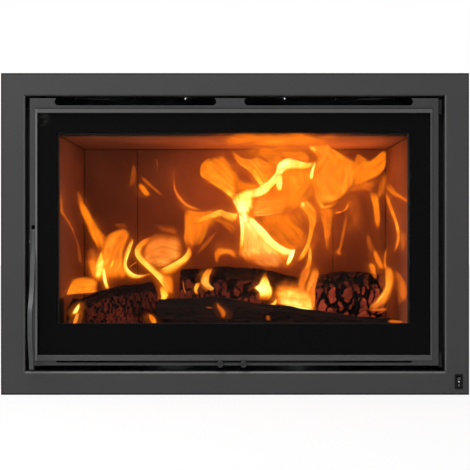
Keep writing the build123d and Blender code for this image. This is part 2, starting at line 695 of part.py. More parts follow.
def make_door_cell():
    """The deep ring that holds the glass, its clips, the back frame and the rope seal."""
    cell = ring(CELL_OUT, CELL_IN, DOOR_BACK, CELL_REAR)
    half = LUG_SIZE / 2
    for x, z in lug_places():
        cell += block(x - half, x + half, CELL_REAR - 4, CELL_REAR, z - half, z + half)
        cell -= rod_y(x, z, SCREW_RADIUS, CELL_REAR - 5, CELL_REAR + 1)
    notch = block(
        CELL_OUT[0] - 1,
        CELL_IN[0] + 0.01,
        DOOR_BACK - 1,
        CELL_REAR + 1,
        LEVER_SLOT_BOTTOM - 9,
        LEVER_SLOT_TOP + 7,
    )
    cell -= notch
    air_d = shutter_middle()
    for knob_x, direction in ((KNOB_LEFT_X, -1), (KNOB_RIGHT_X, 1)):
        for x in air_hole_centres(knob_x, direction):
            cell -= block(
                x - AIR_HOLE_LENGTH / 2,
                x + AIR_HOLE_LENGTH / 2,
                air_d - AIR_HOLE_DEPTH / 2,
                air_d + AIR_HOLE_DEPTH / 2,
                CELL_OUT[2] - 1,
                CELL_IN[2] + 1,
            )
    for x, z, out in clip_places():
        cell -= screw_hole(x, PANE_REAR + CLIP_SCREW, z, (0, 0, out), 4.0)
    keep("door_cell", cell)

    back = ring(CELL_OUT, CLEAR, CELL_REAR, BACK_FRAME_REAR)
    back -= block(
        CELL_OUT[0] - 1,
        CELL_IN[0] + 6,
        CELL_REAR - 1,
        BACK_FRAME_REAR + 1,
        LEVER_SLOT_BOTTOM - 9,
        LEVER_SLOT_TOP + 7,
    )
    screws = []
    for x, z in lug_places():
        back -= rod_y(x, z, SCREW_RADIUS, CELL_REAR - 1, BACK_FRAME_REAR + 1)
        screws.append(screw(x, BACK_FRAME_REAR, z, (0, 1, 0), 6.5))
    keep("door_back_frame", back)
    keep("door_screws", *screws)

    rope = ring(ROPE_OUT, ROPE_IN, BACK_FRAME_REAR, FIREBOX_FRONT - ROPE_GAP)
    rope = fillet(rope.edges().filter_by(Axis.Y), 3.0)
    keep("door_rope", fillet(rope.faces().sort_by(Axis.Y)[-1].edges(), 1.8))


def make_glass():
    pane = block(PANE[0], PANE[1], PANE_FRONT, PANE_REAR, PANE[2], PANE[3])
    keep("door_glass", pane)
    inner = (WINDOW[0] - 0.6, WINDOW[1] + 0.6, WINDOW[2] - 2, WINDOW[3] + 2)
    keep("glass_gasket", ring(PANE, inner, DOOR_BACK, PANE_FRONT))


def clip_places():
    """Wall points of the glass clips, with the direction into the opening."""
    places = [(x, CELL_IN[2], 1) for x in CLIP_OFFSETS]
    return places + [(x, CELL_IN[3], -1) for x in CLIP_OFFSETS]


def make_glass_clips():
    leg, lip, wide = CLIP_SHEET, CLIP_LIP, CLIP_WIDTH
    clips, screws = [], []
    for x, z, out in clip_places():
        z0, z1 = sorted((z, z + out * lip))
        front = block(x - wide / 2, x + wide / 2, PANE_REAR, PANE_REAR + leg, z0, z1)
        z0, z1 = sorted((z, z + out * leg))
        side = block(x - wide / 2, x + wide / 2, PANE_REAR, PANE_REAR + 11.5, z0, z1)
        place = (x, PANE_REAR + CLIP_SCREW, z + out * leg)
        clips.append(front + side - screw_hole(*place, (0, 0, out), 4.0))
        screws.append(screw(*place, (0, 0, out), leg + CELL_WALL - 0.5))
    keep("glass_clips", *clips)
    keep("door_screws", *screws)


# ---------------------------------------------------------------- hinges
def hinge_foot(base):
    """Bottom and top of a bracket's foot, beside the arm at this knuckle base."""
    arm_top = base - KNUCKLE_GAP
    if base < TRIM_HEIGHT / 2:
        return arm_top - HINGE_ARM, arm_top - HINGE_ARM + HINGE_FOOT_HEIGHT
    return arm_top - HINGE_FOOT_HEIGHT, arm_top


def hinge_bolt_places():
    places = []
    for base in KNUCKLE_BASES:
        low, high = hinge_foot(base)
        x = HINGE_X + HINGE_BOLT_OFFSET
        places += [(x, high - 10), (x, high - 26)]
    return places


def make_hinges():
    brackets, pins, bolts, knuckles = [], [], [], []
    reach = FIREBOX_FRONT - HINGE_DEPTH
    for base in KNUCKLE_BASES:
        top = base - KNUCKLE_GAP
        low, high = hinge_foot(base)
        arm = rod_z(HINGE_X, HINGE_DEPTH, HINGE_OFFSET - 0.2, top - HINGE_ARM, top)
        arm += block(
            HINGE_X - HINGE_OFFSET + 0.2,
            HINGE_X + HINGE_OFFSET - 0.2,
            HINGE_DEPTH,
            HINGE_DEPTH + reach,
            top - HINGE_ARM,
            top,
        )
        foot = block(
            HINGE_X - 1, HINGE_X + HINGE_FOOT_WIDTH - 1, FIREBOX_FRONT - HINGE_ARM, FIREBOX_FRONT, low, high
        )
        bracket = arm + foot - rod_z(HINGE_X, HINGE_DEPTH, PIN_RADIUS, top - HINGE_ARM - 1, top + 1)
        for x, z in hinge_bolt_places():
            bracket -= rod_y(x, z, BOLT_RADIUS, FIREBOX_FRONT - HINGE_ARM - 1, FIREBOX_FRONT + 1)
        brackets.append(bracket)
        pin = rod_z(HINGE_X, HINGE_DEPTH, PIN_RADIUS, top - HINGE_ARM, base + KNUCKLE_HEIGHT - 1)
        pins.append(chamfer(pin.edges().group_by(Axis.Z)[-1], 0.6))
        outer = BORE_RADIUS + KNUCKLE_WALL
        knuckle = rod_z(HINGE_X, HINGE_DEPTH, outer, base, base + KNUCKLE_HEIGHT)
        knuckle += block(DOOR_RIGHT, HINGE_X, HINGE_DEPTH - 2, HINGE_DEPTH + 2, base, base + KNUCKLE_HEIGHT)
        knuckle -= rod_z(HINGE_X, HINGE_DEPTH, BORE_RADIUS, base - 1, base + KNUCKLE_HEIGHT + 1)
        knuckles.append(knuckle)
    for x, z in hinge_bolt_places():
        bolts.append(bolt(x, FIREBOX_FRONT - HINGE_ARM, z, (0, -1, 0), HINGE_ARM + PLATE + 3))
    keep("hinge_brackets", *brackets)
    keep("hinge_pins", *pins)
    keep("firebox_bolts", *bolts)
    keep("hinge_knuckles", *knuckles)


# ---------------------------------------------------------------- handle and latch
def lever_point(d, z):
    """Point of the lever's outline, in its own plane."""
    return (depth(d), z)


def lever_outline():
    """Side outline of the lever: grip, straight part in the slot, and the nose behind the pivot."""
    flush = DOOR_RECESS - 0.5
    pivot = LEVER_PIVOT_HEIGHT
    foot = LEVER_FOOT_HEIGHT
    top = LEVER_SLOT_TOP - 7
    nose_base = NOSE_TOP - NOSE_THICKNESS
    front = [
        lever_point(flush, top - 17),
        lever_point(0, pivot - 16),
        lever_point(-4, pivot - 32),
        lever_point(-11, pivot - 64),
        lever_point(-23, pivot - 97),
        lever_point(GRIP_FRONT + 2.5, pivot - 115),
        lever_point(GRIP_FRONT, GRIP_HEIGHT),
        lever_point(GRIP_FRONT + 1, foot + 64),
        lever_point(GRIP_FRONT + 5, foot + 40),
        lever_point(GRIP_FRONT + 14, foot + 14),
        lever_point(GRIP_FRONT + 16.5, LEVER_FOOT_HEIGHT),
    ]
    rear = [
        lever_point(GRIP_FRONT + 24, LEVER_FOOT_HEIGHT + 1.5),
        lever_point(GRIP_FRONT + 21.5, foot + 18),
        lever_point(GRIP_FRONT + 13, foot + 43),
        lever_point(GRIP_FRONT + 9, foot + 65),
        lever_point(GRIP_FRONT + 8.2, GRIP_HEIGHT - 1),
        lever_point(GRIP_FRONT + 11, pivot - 112),
        lever_point(-15, pivot - 92),
        lever_point(-4, pivot - 62),
        lever_point(0.6, pivot - 37),
        lever_point(6.5, pivot - 20),
    ]
    tip = lever_point(GRIP_FRONT + 20.5, LEVER_FOOT_HEIGHT - 3)
    body = [
        lever_point(LEVER_PIVOT_DEPTH + 4, LEVER_PIVOT_HEIGHT - 12),
        lever_point(LEVER_PIVOT_DEPTH + 8, nose_base),
        lever_point(NOSE_DEPTH, nose_base),
        lever_point(NOSE_DEPTH, NOSE_TOP),
        lever_point(LEVER_PIVOT_DEPTH + 8, NOSE_TOP),
        lever_point(LEVER_PIVOT_DEPTH + 2, top - 3),
        lever_point(flush + 2, top),
        lever_point(flush, top - 2),
    ]
    edge = Spline(*front) + ThreePointArc(front[-1], tip, rear[0]) + Spline(*rear)
    return edge + Polyline(rear[-1], *body, front[0])


def make_handle():
    """A bent flat bar. Outside the door it is wider than the slot that it passes through."""
    outline = make_face(lever_outline().edges())

    def bar(width):
        return Pos(LEVER_X - width / 2, 0, 0) * (Rot(0, 0, 90) * Rot(90, 0, 0) * extrude(outline, width))

    outside = block(LEVER_X - 9, LEVER_X + 9, 2 * GRIP_FRONT, knob_back(), 0, LEVER_SLOT_BOTTOM + 14)
    grip = bar(GRIP_WIDTH) & outside
    solid = bar(LEVER_WIDTH) + grip
    solid -= rod_x(
        LEVER_PIVOT_DEPTH, LEVER_PIVOT_HEIGHT, LEVER_PIN_RADIUS + PIN_CLEARANCE, LEVER_X - 9, LEVER_X + 9
    )
    keep("handle_lever", solid)

    inner = CELL_IN[0]
    plate = block(
        inner, inner + 2, PANE_REAR + 0.4, CELL_REAR, LEVER_SLOT_BOTTOM - 14, LEVER_SLOT_TOP + 12
    )
    plate -= rod_x(LEVER_PIVOT_DEPTH, LEVER_PIVOT_HEIGHT, LEVER_PIN_RADIUS, inner - 1, inner + 3)
    keep("handle_bracket", plate)
    pin = rod_x(LEVER_PIVOT_DEPTH, LEVER_PIVOT_HEIGHT, LEVER_PIN_RADIUS, DOOR_LEFT, inner + 4)
    pin += rod_x(LEVER_PIVOT_DEPTH, LEVER_PIVOT_HEIGHT, LEVER_PIN_RADIUS + 1.5, DOOR_LEFT - 1.5, DOOR_LEFT)
    keep("handle_pin", pin)


def keeper_screw_places():
    z = NOSE_TOP + KEEPER_GAP + KEEPER_SHEET
    return [(LEVER_X, z + 0.3 * KEEPER_HEIGHT), (LEVER_X, z + 0.73 * KEEPER_HEIGHT)]


def make_keeper():
    """Angle behind the front plate. Its shelf lies just above the lever's nose."""
    half = LEVER_WIDTH / 2 + 4
    shelf = NOSE_TOP + KEEPER_GAP
    foot = block(
        LEVER_X - half,
        LEVER_X + half,
        BOX_INSIDE,
        BOX_INSIDE + KEEPER_SHEET,
        shelf,
        shelf + KEEPER_SHEET + KEEPER_HEIGHT,
    )
    foot += block(LEVER_X - half, LEVER_X + half, BOX_INSIDE, NOSE_DEPTH + 4, shelf, shelf + KEEPER_SHEET)
    screws = []
    for x, z in keeper_screw_places():
        foot -= rod_y(x, z, SCREW_RADIUS, BOX_INSIDE - 1, BOX_INSIDE + KEEPER_SHEET + 1)
        screws.append(screw(x, BOX_INSIDE + KEEPER_SHEET, z, (0, 1, 0), KEEPER_SHEET + PLATE))
    keep("latch_keeper", foot)
    keep("casing_screws", *screws)


# ---------------------------------------------------------------- air controls
def knob_back():
    """Depth of the knobs' rear faces, just clear of the bezel."""
    return DOOR_RECESS - BEZEL_PROUD - KNOB_GAP


def shutter_middle():
    return DOOR_BACK + 1.5 + SHUTTER_DEPTH / 2


def make_air_controls():
    top = CELL_OUT[2] - SHUTTER_GAP - 0.4
    base = top - SHUTTER_SHEET
    front = DOOR_BACK + 1.5
    rear = front + SHUTTER_DEPTH
    pocket = 3.5
    controls = (("primary", KNOB_LEFT_X, -1), ("secondary", KNOB_RIGHT_X, 1))
    for name, x, direction in controls:
        x0, x1 = sorted((x - direction * 12, x - direction * 12 + direction * SHUTTER_LENGTH))
        shutter = block(x0, x1, front, rear, base, top)
        tab = block(x - 2, x + 2, knob_back() - pocket, front, base, top)
        shutter += tab
        for centre in air_hole_centres(x, direction):
            shutter -= block(
                centre - AIR_HOLE_LENGTH / 2,
                centre + AIR_HOLE_LENGTH / 2,
                shutter_middle() - AIR_HOLE_DEPTH / 2,
                shutter_middle() + AIR_HOLE_DEPTH / 2,
                base - 1,
                top + 1,
            )
        knob = rod_y(x, KNOB_HEIGHT, KNOB_RADIUS, knob_back() - KNOB_LENGTH, knob_back())
        knob = fillet(knob.edges().group_by(Axis.Y)[0], 1.2)
        face = knob_back() - KNOB_LENGTH
        knob -= rod_y(x, KNOB_HEIGHT, KNOB_DISH_RADIUS, face - 1, face + KNOB_DISH)
        keep(f"{name}_air_shutter", shutter)
        keep(f"{name}_air_knob", knob - tab)
    rail_top = base - SHUTTER_GAP
    reach = KNOB_RIGHT_X + SHUTTER_LENGTH + 40
    rails = [block(-reach, reach, DOOR_BACK, DOOR_BACK + 5, DOOR_BASE + 1, rail_top)]
    step = block(-reach, reach, rear + 0.3, CELL_REAR, DOOR_BASE + 1, CELL_OUT[2])
    rails.append(step + block(-reach, reach, rear - 4, rear + 1, DOOR_BASE + 1, rail_top))
    keep("shutter_rails", *rails)


# ---------------------------------------------------------------- fan switch
def make_switch():
    half_w, half_h = SWITCH_WIDTH / 2, SWITCH_HEIGHT / 2
    lip = block(SWITCH_X - half_w, SWITCH_X + half_w, -SWITCH_LIP, 0, SWITCH_Z - half_h, SWITCH_Z + half_h)
    lip = chamfer(lip.faces().sort_by(Axis.Y)[0].edges(), 0.6)
    body_w, body_h = half_w - SWITCH_LIP, half_h - SWITCH_LIP
    body = block(
        SWITCH_X - body_w, SWITCH_X + body_w, 0, SWITCH_BODY_DEPTH, SWITCH_Z - body_h, SWITCH_Z + body_h
    )
    seat_w, seat_h = half_w - SWITCH_RIM, half_h - SWITCH_RIM - 0.6
    half_well = seat_w - 0.6
    well = block(SWITCH_X - half_well, SWITCH_X + half_well, -5, 9, SWITCH_Z - seat_h, SWITCH_Z + seat_h)
    pivot_depth = 3.0
    housing = lip + body - well
    housing -= rod_x(
        pivot_depth,
        SWITCH_Z,
        ROCKER_PIN_RADIUS + PIN_CLEARANCE,
        SWITCH_X - half_w + SWITCH_RIM,
        SWITCH_X + half_w - SWITCH_RIM,
    )
    tabs = [
        block(SWITCH_X - 2, SWITCH_X + 2, SWITCH_BODY_DEPTH, SWITCH_BODY_DEPTH + 6, z - 0.4, z + 0.4)
        for z in (SWITCH_Z - 6, SWITCH_Z + 6)
    ]
    for tab in tabs:
        housing += tab
    keep("switch_housing", housing)

    wide = 2 * half_well - 0.5
    long = seat_h - 1.1
    with BuildPart() as paddle:
        with BuildSketch(Plane.YZ.offset(SWITCH_X - wide / 2)):
            with BuildLine():
                face = depth(-SWITCH_LIP - 0.9)
                Polyline(
                    (face, SWITCH_Z + long),
                    (face + 1.0, SWITCH_Z),
                    (face, SWITCH_Z - long),
                    (depth(1.0), SWITCH_Z - long),
                    (depth(pivot_depth + 2.5), SWITCH_Z - 2.2),
                    (depth(pivot_depth + 2.5), SWITCH_Z + 2.2),
                    (depth(1.0), SWITCH_Z + long),
                    (face, SWITCH_Z + long),
                )
            make_face()
        extrude(amount=wide)
    rocker = paddle.part.solid()
    half_pin = wide / 2 + 0.7
    rocker += rod_x(pivot_depth, SWITCH_Z, ROCKER_PIN_RADIUS, SWITCH_X - half_pin, SWITCH_X + half_pin)
    tilt = Axis((SWITCH_X, depth(pivot_depth), SWITCH_Z), (1, 0, 0))
    keep("switch_rocker", rocker.rotate(tilt, ROCKER_TILT))


# ---------------------------------------------------------------- fans and terminal box
def fan_screw_places():
    half = FAN_HOLE_SPACING / 2
    return [
        (side * FAN_OFFSET + sx * half, FAN_HEIGHT + sz * half)
        for side in (-1, 1)
        for sx in (-1, 1)
        for sz in (-1, 1)
    ]


def make_fans():
    front, rear = CASING_SKIN, CASING_SKIN + FAN_DEPTH
    half = FAN_SIZE / 2
    housings, guards, screws = [], [], []
    hub_front = rear - 13
    for side, name in ((-1, "left"), (1, "right")):
        x = side * FAN_OFFSET
        shell = block(x - half, x + half, front, rear, FAN_HEIGHT - half, FAN_HEIGHT + half)
        shell = fillet(shell.edges().filter_by(Axis.Y), 4.0)
        over = half + 1
        waist = block(x - over, x + over, front + 5, rear - 5, FAN_HEIGHT - over, FAN_HEIGHT + over)
        waist -= rod_y(x, FAN_HEIGHT, FAN_BORE_RADIUS + FAN_WALL, front, rear)
        shell -= waist
        shell -= rod_y(x, FAN_HEIGHT, FAN_BORE_RADIUS, front - 1, rear + 1)
        hub = rod_y(x, FAN_HEIGHT, FAN_HUB_RADIUS, hub_front, rear - 3)
        for turn in (45, 135, 225, 315):
            arm = Box(FAN_BORE_RADIUS + 1, 4, 5, align=(Align.MIN, Align.CENTER, Align.CENTER))
            hub += Pos(x, depth(rear - 5.5), FAN_HEIGHT) * Rot(0, turn, 0) * arm
        hub -= rod_y(x, FAN_HEIGHT, FAN_SHAFT_RADIUS + PIN_CLEARANCE, hub_front - 1, rear - 5)
        shell += hub
        for sx, sz in fan_screw_places():
            shell -= rod_y(sx, sz, SCREW_RADIUS, front - 1, rear + 1)
        housings.append(shell)

        cup = rod_y(x, FAN_HEIGHT, FAN_HUB_RADIUS - 0.5, front + 4, hub_front - 0.5)
        cup = fillet(cup.edges().group_by(Axis.Y)[0], 2.0)
        cup += rod_y(x, FAN_HEIGHT, FAN_SHAFT_RADIUS, hub_front - 1, rear - 6)
        blade_span = FAN_BORE_RADIUS - 1.2 - FAN_HUB_RADIUS + 3
        for blade in range(FAN_BLADES):
            wing = Box(blade_span, 1.8, 17, align=(Align.MIN, Align.CENTER, Align.CENTER))
            wing = Pos(FAN_HUB_RADIUS - 3, 0, 0) * Rot(52, 0, 0) * wing
            turn = Rot(0, 360 * blade / FAN_BLADES, 0)
            cup += Pos(x, depth((front + hub_front) / 2 + 1), FAN_HEIGHT) * turn * wing
        keep(f"fan_impeller_{name}", cup)

        hoops = rod_y(x, FAN_HEIGHT, FAN_HUB_RADIUS * 0.4, rear, rear + GUARD_WIRE)
        for i in range(GUARD_RINGS):
            radius = FAN_BORE_RADIUS * (i + 1) / GUARD_RINGS
            hoop = rod_y(x, FAN_HEIGHT, radius + GUARD_WIRE, rear, rear + 2 * GUARD_WIRE)
            hoops += hoop - rod_y(x, FAN_HEIGHT, radius - GUARD_WIRE, rear - 1, rear + 4)
        for turn in (45, 135):
            spoke = Rot(0, turn, 0) * Box(FAN_HOLE_SPACING * math.sqrt(2), GUARD_WIRE, 2 * GUARD_WIRE)
            hoops += Pos(x, depth(rear + GUARD_WIRE / 2), FAN_HEIGHT) * spoke
        for sx, sz in fan_screw_places():
            if abs(sx - x) < FAN_SIZE:
                hoops += rod_y(sx, sz, 4.6, rear, rear + 2 * GUARD_WIRE)
                hoops -= rod_y(sx, sz, SCREW_RADIUS, rear - 1, rear + 5)
        guards.append(hoops)
    for x, z in fan_screw_places():
        screws.append(screw(x, rear + 2 * GUARD_WIRE, z, (0, 1, 0), FAN_DEPTH + 2 * GUARD_WIRE + 5))
    keep("fan_housings", *housings)
    keep("fan_guards", *guards)
    keep("casing_screws", *screws)


def make_terminal_box():
    half_w, half_h = TERMINAL_WIDTH / 2, TERMINAL_HEIGHT / 2
    rear = CASING_SKIN + TERMINAL_DEPTH
    box = block(
        TERMINAL_X - half_w, TERMINAL_X + half_w, CASING_SKIN, rear, TERMINAL_Z - half_h, TERMINAL_Z + half_h
    )
    box = fillet(box.edges().filter_by(Axis.Y), 5.0)
    lid_line = rear - 8
    base = box - block(
        TERMINAL_X - half_w - 1, TERMINAL_X + half_w + 1, lid_line, rear + 1, 0, TERMINAL_Z + half_h + 1
    )
    lid = box - base
    wall = 2.5
    base -= block(
        TERMINAL_X - half_w + wall,
        TERMINAL_X + half_w - wall,
        CASING_SKIN + wall,
        rear,
        TERMINAL_Z - half_h + wall,
        TERMINAL_Z + half_h - wall,
    )
    lid = chamfer(lid.faces().sort_by(Axis.Y)[-1].edges(), 1.2)
    gland_depth = CASING_SKIN + TERMINAL_DEPTH / 2
    low = TERMINAL_Z - half_h
    base -= rod_z(TERMINAL_X, gland_depth, CABLE_RADIUS + 2, low - 1, low + wall + 1)
    keep("terminal_box", base)
    keep("terminal_lid", lid)
    hexagon = extrude(RegularPolygon(GLAND_RADIUS + 2, 6), -7.0)
    gland = Pos(TERMINAL_X, depth(gland_depth), low) * hexagon
    gland += rod_z(TERMINAL_X, gland_depth, GLAND_RADIUS, low - 15, low - 6)
    gland = fillet(gland.edges().group_by(Axis.Z)[0], 2.5)
    gland += rod_z(TERMINAL_X, gland_depth, CABLE_RADIUS + 2, low, low + wall)
    gland -= rod_z(TERMINAL_X, gland_depth, CABLE_RADIUS, low - 20, low + wall + 1)
    keep("cable_gland", gland)


# ---------------------------------------------------------------- fuel
def log_solid(start, end, radii, sides, seed):
    """Split log: a ruled loft through uneven polygons from start to end, both (x, d, z)."""
    steps = len(radii) - 1
    along = Vector(end[0] - start[0], end[1] - start[1], end[2] - start[2])
    faces = []
    for i, (wide, high) in enumerate(radii):
        share = i / steps
        centre = Vector(start[0], depth(start[1]), start[2]) + along * share
        plane = Plane(origin=centre, z_dir=along, x_dir=Vector(0, 0, 1).cross(along))
        points = []
        for k in range(sides):
            angle = 2 * math.pi * (k + 0.5) / sides
            bump = 1 + 0.07 * math.sin(3.1 * k + 1.7 * i + seed)
            bump += 0.05 * math.sin(1.9 * k - 2.3 * i + 2 * seed)
            points.append((wide / 2 * bump * math.cos(angle), high / 2 * bump * math.sin(angle)))
        faces.append(plane * make_face(Polyline(*points, close=True)))
    return loft(faces, ruled=True)


def above(solid, level):
    """Keeps what lies above a level, which gives the log its flat seat."""
    return solid - block(-TRIM_WIDTH, TRIM_WIDTH, 0, CASING_REAR, -TRIM_HEIGHT, level)


def log_place(across, back, up):
    """A place in the chamber: shares of its half width and its depth, and log sizes above the bed."""
    x = across * CHAMBER_HALF
    d = CHAMBER_FRONT + back * CHAMBER_DEPTH
    return x, d, BED_TOP + up * LOG_SIZE


def log(start, end, sections, sides, seed):
    """A split log between two places, with its sections' widths and heights in log sizes."""
    radii = [(wide * LOG_SIZE, high * LOG_SIZE) for wide, high in sections]
    return log_solid(log_place(*start), log_place(*end), radii, sides, seed)


def make_fuel():
    with BuildPart() as heap:
        for rise, inset in ((0.0, 0.0), (0.6, 0.35 * BED_SLOPE), (1.0, BED_SLOPE)):
            with BuildSketch(Plane.XY.offset(HEARTH_TOP + rise * BED_HEIGHT)):
                with Locations((0, depth(CHAMBER_FRONT + CHAMBER_DEPTH / 2))):
                    RectangleRounded(
                        2 * (CHAMBER_HALF - BED_MARGIN - inset),
                        CHAMBER_DEPTH - 2 * (BED_MARGIN + inset),
                        BED_CORNER - inset,
                    )
        loft(ruled=True)
    bed = heap.part
    keep("ember_bed", bed)
    front_sections = ((0.92, 0.95), (1.03, 1.08), (0.97, 0.95), (0.79, 0.68), (0.6, 0.47))
    left_sections = ((0.8, 0.74), (1.1, 1.1), (1.13, 1.2), (0.92, 1.1))
    right_sections = ((0.95, 1.1), (1.15, 1.36), (1.2, 1.38), (0.98, 1.15))
    back_sections = ((1.26, 1.37), (1.55, 1.63), (1.47, 1.45), (1.21, 1.16))
    corner_sections = ((0.45, 0.9), (0.5, 1.0), (0.46, 0.9))
    front_log = log((-0.462, 0.224, 0.26), (0.97, 0.177, -0.03), front_sections, 9, 0.4)
    left_log = log((-0.93, 0.25, 0.3), (-0.49, 0.42, 0.52), left_sections, 9, 1.9)
    right_log = log((0.47, 0.42, 0.68), (0.9, 0.45, 0.68), right_sections, 8, 3.3)
    back_log = log((-0.345, 0.55, 0.7), (0.416, 0.56, 0.58), back_sections, 9, 5.1)
    corner_log = log((-0.925, 0.048, 0.28), (-0.925, 0.184, 0.3), corner_sections, 8, 2.7)
    keep("log_front", above(front_log, BED_TOP))
    keep("log_left", above(left_log, BED_TOP) - front_log - corner_log)
    keep("log_corner", above(corner_log, HEARTH_TOP) - bed)
    keep("log_right", above(right_log, BED_TOP) - front_log)
    keep("log_back", above(back_log, BED_TOP) - front_log - left_log - right_log)


make_trim()
make_trim_brackets()
make_casing()
make_feet()
make_firebox()
make_linings()
make_flue()
make_door_plate()
make_door_cell()
make_glass()
make_glass_clips()
make_hinges()
make_handle()
make_keeper()
make_air_controls()
make_switch()
make_fans()
make_terminal_box()
make_fuel()

os.makedirs("parts", exist_ok=True)
for node, solids in PARTS.items():
    shape = solids[0] if len(solids) == 1 else Compound(children=solids)
    export_step(shape, f"parts/{node}.step")
print(len(PARTS), "nodes;", "trim front at y =", round(FRONT_Y, 3))
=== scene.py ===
# %% [markdown]
# # A fireplace insert with a wood fire behind its glass door
#
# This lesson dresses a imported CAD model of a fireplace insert. The CAD model is the frame: its sheet-metal
# panels, board linings, hinges, fans and screws already have their right shapes and places, so they keep
# their meshes and only get better surfaces. What CAD is poor at is made here: charred bark, glowing embers
# and flames. Everything is in metres, in the CAD model's own axes: +X to the right, +Y to the back, +Z up.

# %% Load the frame
import bmesh
import bpy
import json
import math
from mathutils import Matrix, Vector, noise
from mathutils.bvhtree import BVHTree


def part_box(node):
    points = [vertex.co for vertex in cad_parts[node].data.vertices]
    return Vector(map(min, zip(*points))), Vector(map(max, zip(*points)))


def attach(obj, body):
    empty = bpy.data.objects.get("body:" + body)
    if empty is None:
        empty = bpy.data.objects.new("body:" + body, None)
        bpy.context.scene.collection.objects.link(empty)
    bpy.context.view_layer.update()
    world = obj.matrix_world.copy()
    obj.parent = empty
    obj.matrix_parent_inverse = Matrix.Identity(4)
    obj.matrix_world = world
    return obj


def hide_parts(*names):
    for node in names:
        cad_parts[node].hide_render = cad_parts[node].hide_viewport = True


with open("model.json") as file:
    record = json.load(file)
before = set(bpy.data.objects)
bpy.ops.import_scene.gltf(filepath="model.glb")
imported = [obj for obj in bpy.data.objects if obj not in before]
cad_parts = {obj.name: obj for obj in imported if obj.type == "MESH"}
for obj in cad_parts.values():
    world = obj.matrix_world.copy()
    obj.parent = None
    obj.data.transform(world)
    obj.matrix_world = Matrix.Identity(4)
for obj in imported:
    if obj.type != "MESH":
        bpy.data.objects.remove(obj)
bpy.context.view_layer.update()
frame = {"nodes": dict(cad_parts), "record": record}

NOISE_SEED = 7

bpy.context.scene.view_settings.view_transform = "Standard"
# Without a seed of its own, Blender's noise vectors differ from run to run.
noise.seed_set(NOISE_SEED)

# %% [markdown]
# Places come from the frame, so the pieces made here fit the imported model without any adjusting. The
# chamber is the space inside the board linings: between the side boards, in front of the back board and
# under the baffle.

# %% Take the places from the frame
trim_low, trim_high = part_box("trim_frame")
pane_low, pane_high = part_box("door_glass")
back_low, back_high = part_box("lining_back_centre")
BOARD = back_high.y - back_low.y
CHAMBER_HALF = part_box("lining_sides")[1].x - BOARD
CHAMBER_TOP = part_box("baffle")[0].z
CHAMBER_BACK = back_low.y
HEARTH_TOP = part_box("hearth_slab")[1].z
PANEL_JOINT = back_low.x
FRONT = trim_low.y
bezel_low, bezel_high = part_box("glass_bezel")
OPENING_HALF = trim_high.x - 0.0415
OPENING_TOP = trim_high.z - 0.039
OPENING_BASE = trim_low.z + 0.040
PRINT_LEFT = 0.0366
PRINT_RIGHT = 0.0375
PRINT_TOP = 0.0393
PRINT_BOTTOM = 0.0588
CLEAR_X = (pane_low.x + PRINT_LEFT, pane_high.x - PRINT_RIGHT)
CLEAR_Z = (pane_low.z + PRINT_BOTTOM, pane_high.z - PRINT_TOP)
chamber = (CHAMBER_HALF, CHAMBER_TOP, CHAMBER_BACK)
print("chamber half width, top, back:", [round(value, 4) for value in chamber])
print("clear glass:", [round(v, 4) for v in CLEAR_X + CLEAR_Z])

# %% [markdown]
# ## Camera and studio
#
# The photograph was taken square on from about two metres, with the lens level with the middle of the
# frame. A long lens keeps the sides of the trim straight. The size of the picture at the trim gives the
# focal length: sensor width times distance over width seen.

# %% Set the camera
EYE_DISTANCE = 2.142
EYE_HEIGHT = 0.2732
WIDTH_SEEN = 0.8024
SENSOR = 36.0


def new_object(name, data):
    """An object in the scene with this mesh, lamp or camera."""
    thing = bpy.data.objects.new(name, data)
    bpy.context.collection.objects.link(thing)
    return thing


camera_data = bpy.data.cameras.new("camera")
camera_data.sensor_width = SENSOR
camera_data.lens = SENSOR * EYE_DISTANCE / WIDTH_SEEN
camera = new_object("camera", camera_data)
camera.location = (0, FRONT - EYE_DISTANCE, EYE_HEIGHT)
camera.rotation_euler = (math.pi / 2, 0, 0)
bpy.context.scene.camera = camera
print("lens, mm:", round(camera_data.lens, 1))

# %% [markdown]
# Every finish here is a small node tree. The helper below keeps each one short: it makes a material with a
# Principled shader, offers the object's own coordinates, and adds the few kinds of node that all of them
# use. A value that is the same everywhere is typed into the shader's socket. Only what varies is a node.

# %% Define the finish helper
def add_node(tree, kind, inputs=None, **settings):
    """Adds a node to a tree, sets it up, and joins or types in what its sockets take."""
    node = tree.nodes.new(kind)
    for key, value in settings.items():
        setattr(node, key, value)
    for key, value in (inputs or {}).items():
        if isinstance(value, bpy.types.NodeSocket):
            tree.links.new(value, node.inputs[key])
        else:
            node.inputs[key].default_value = value
    return node


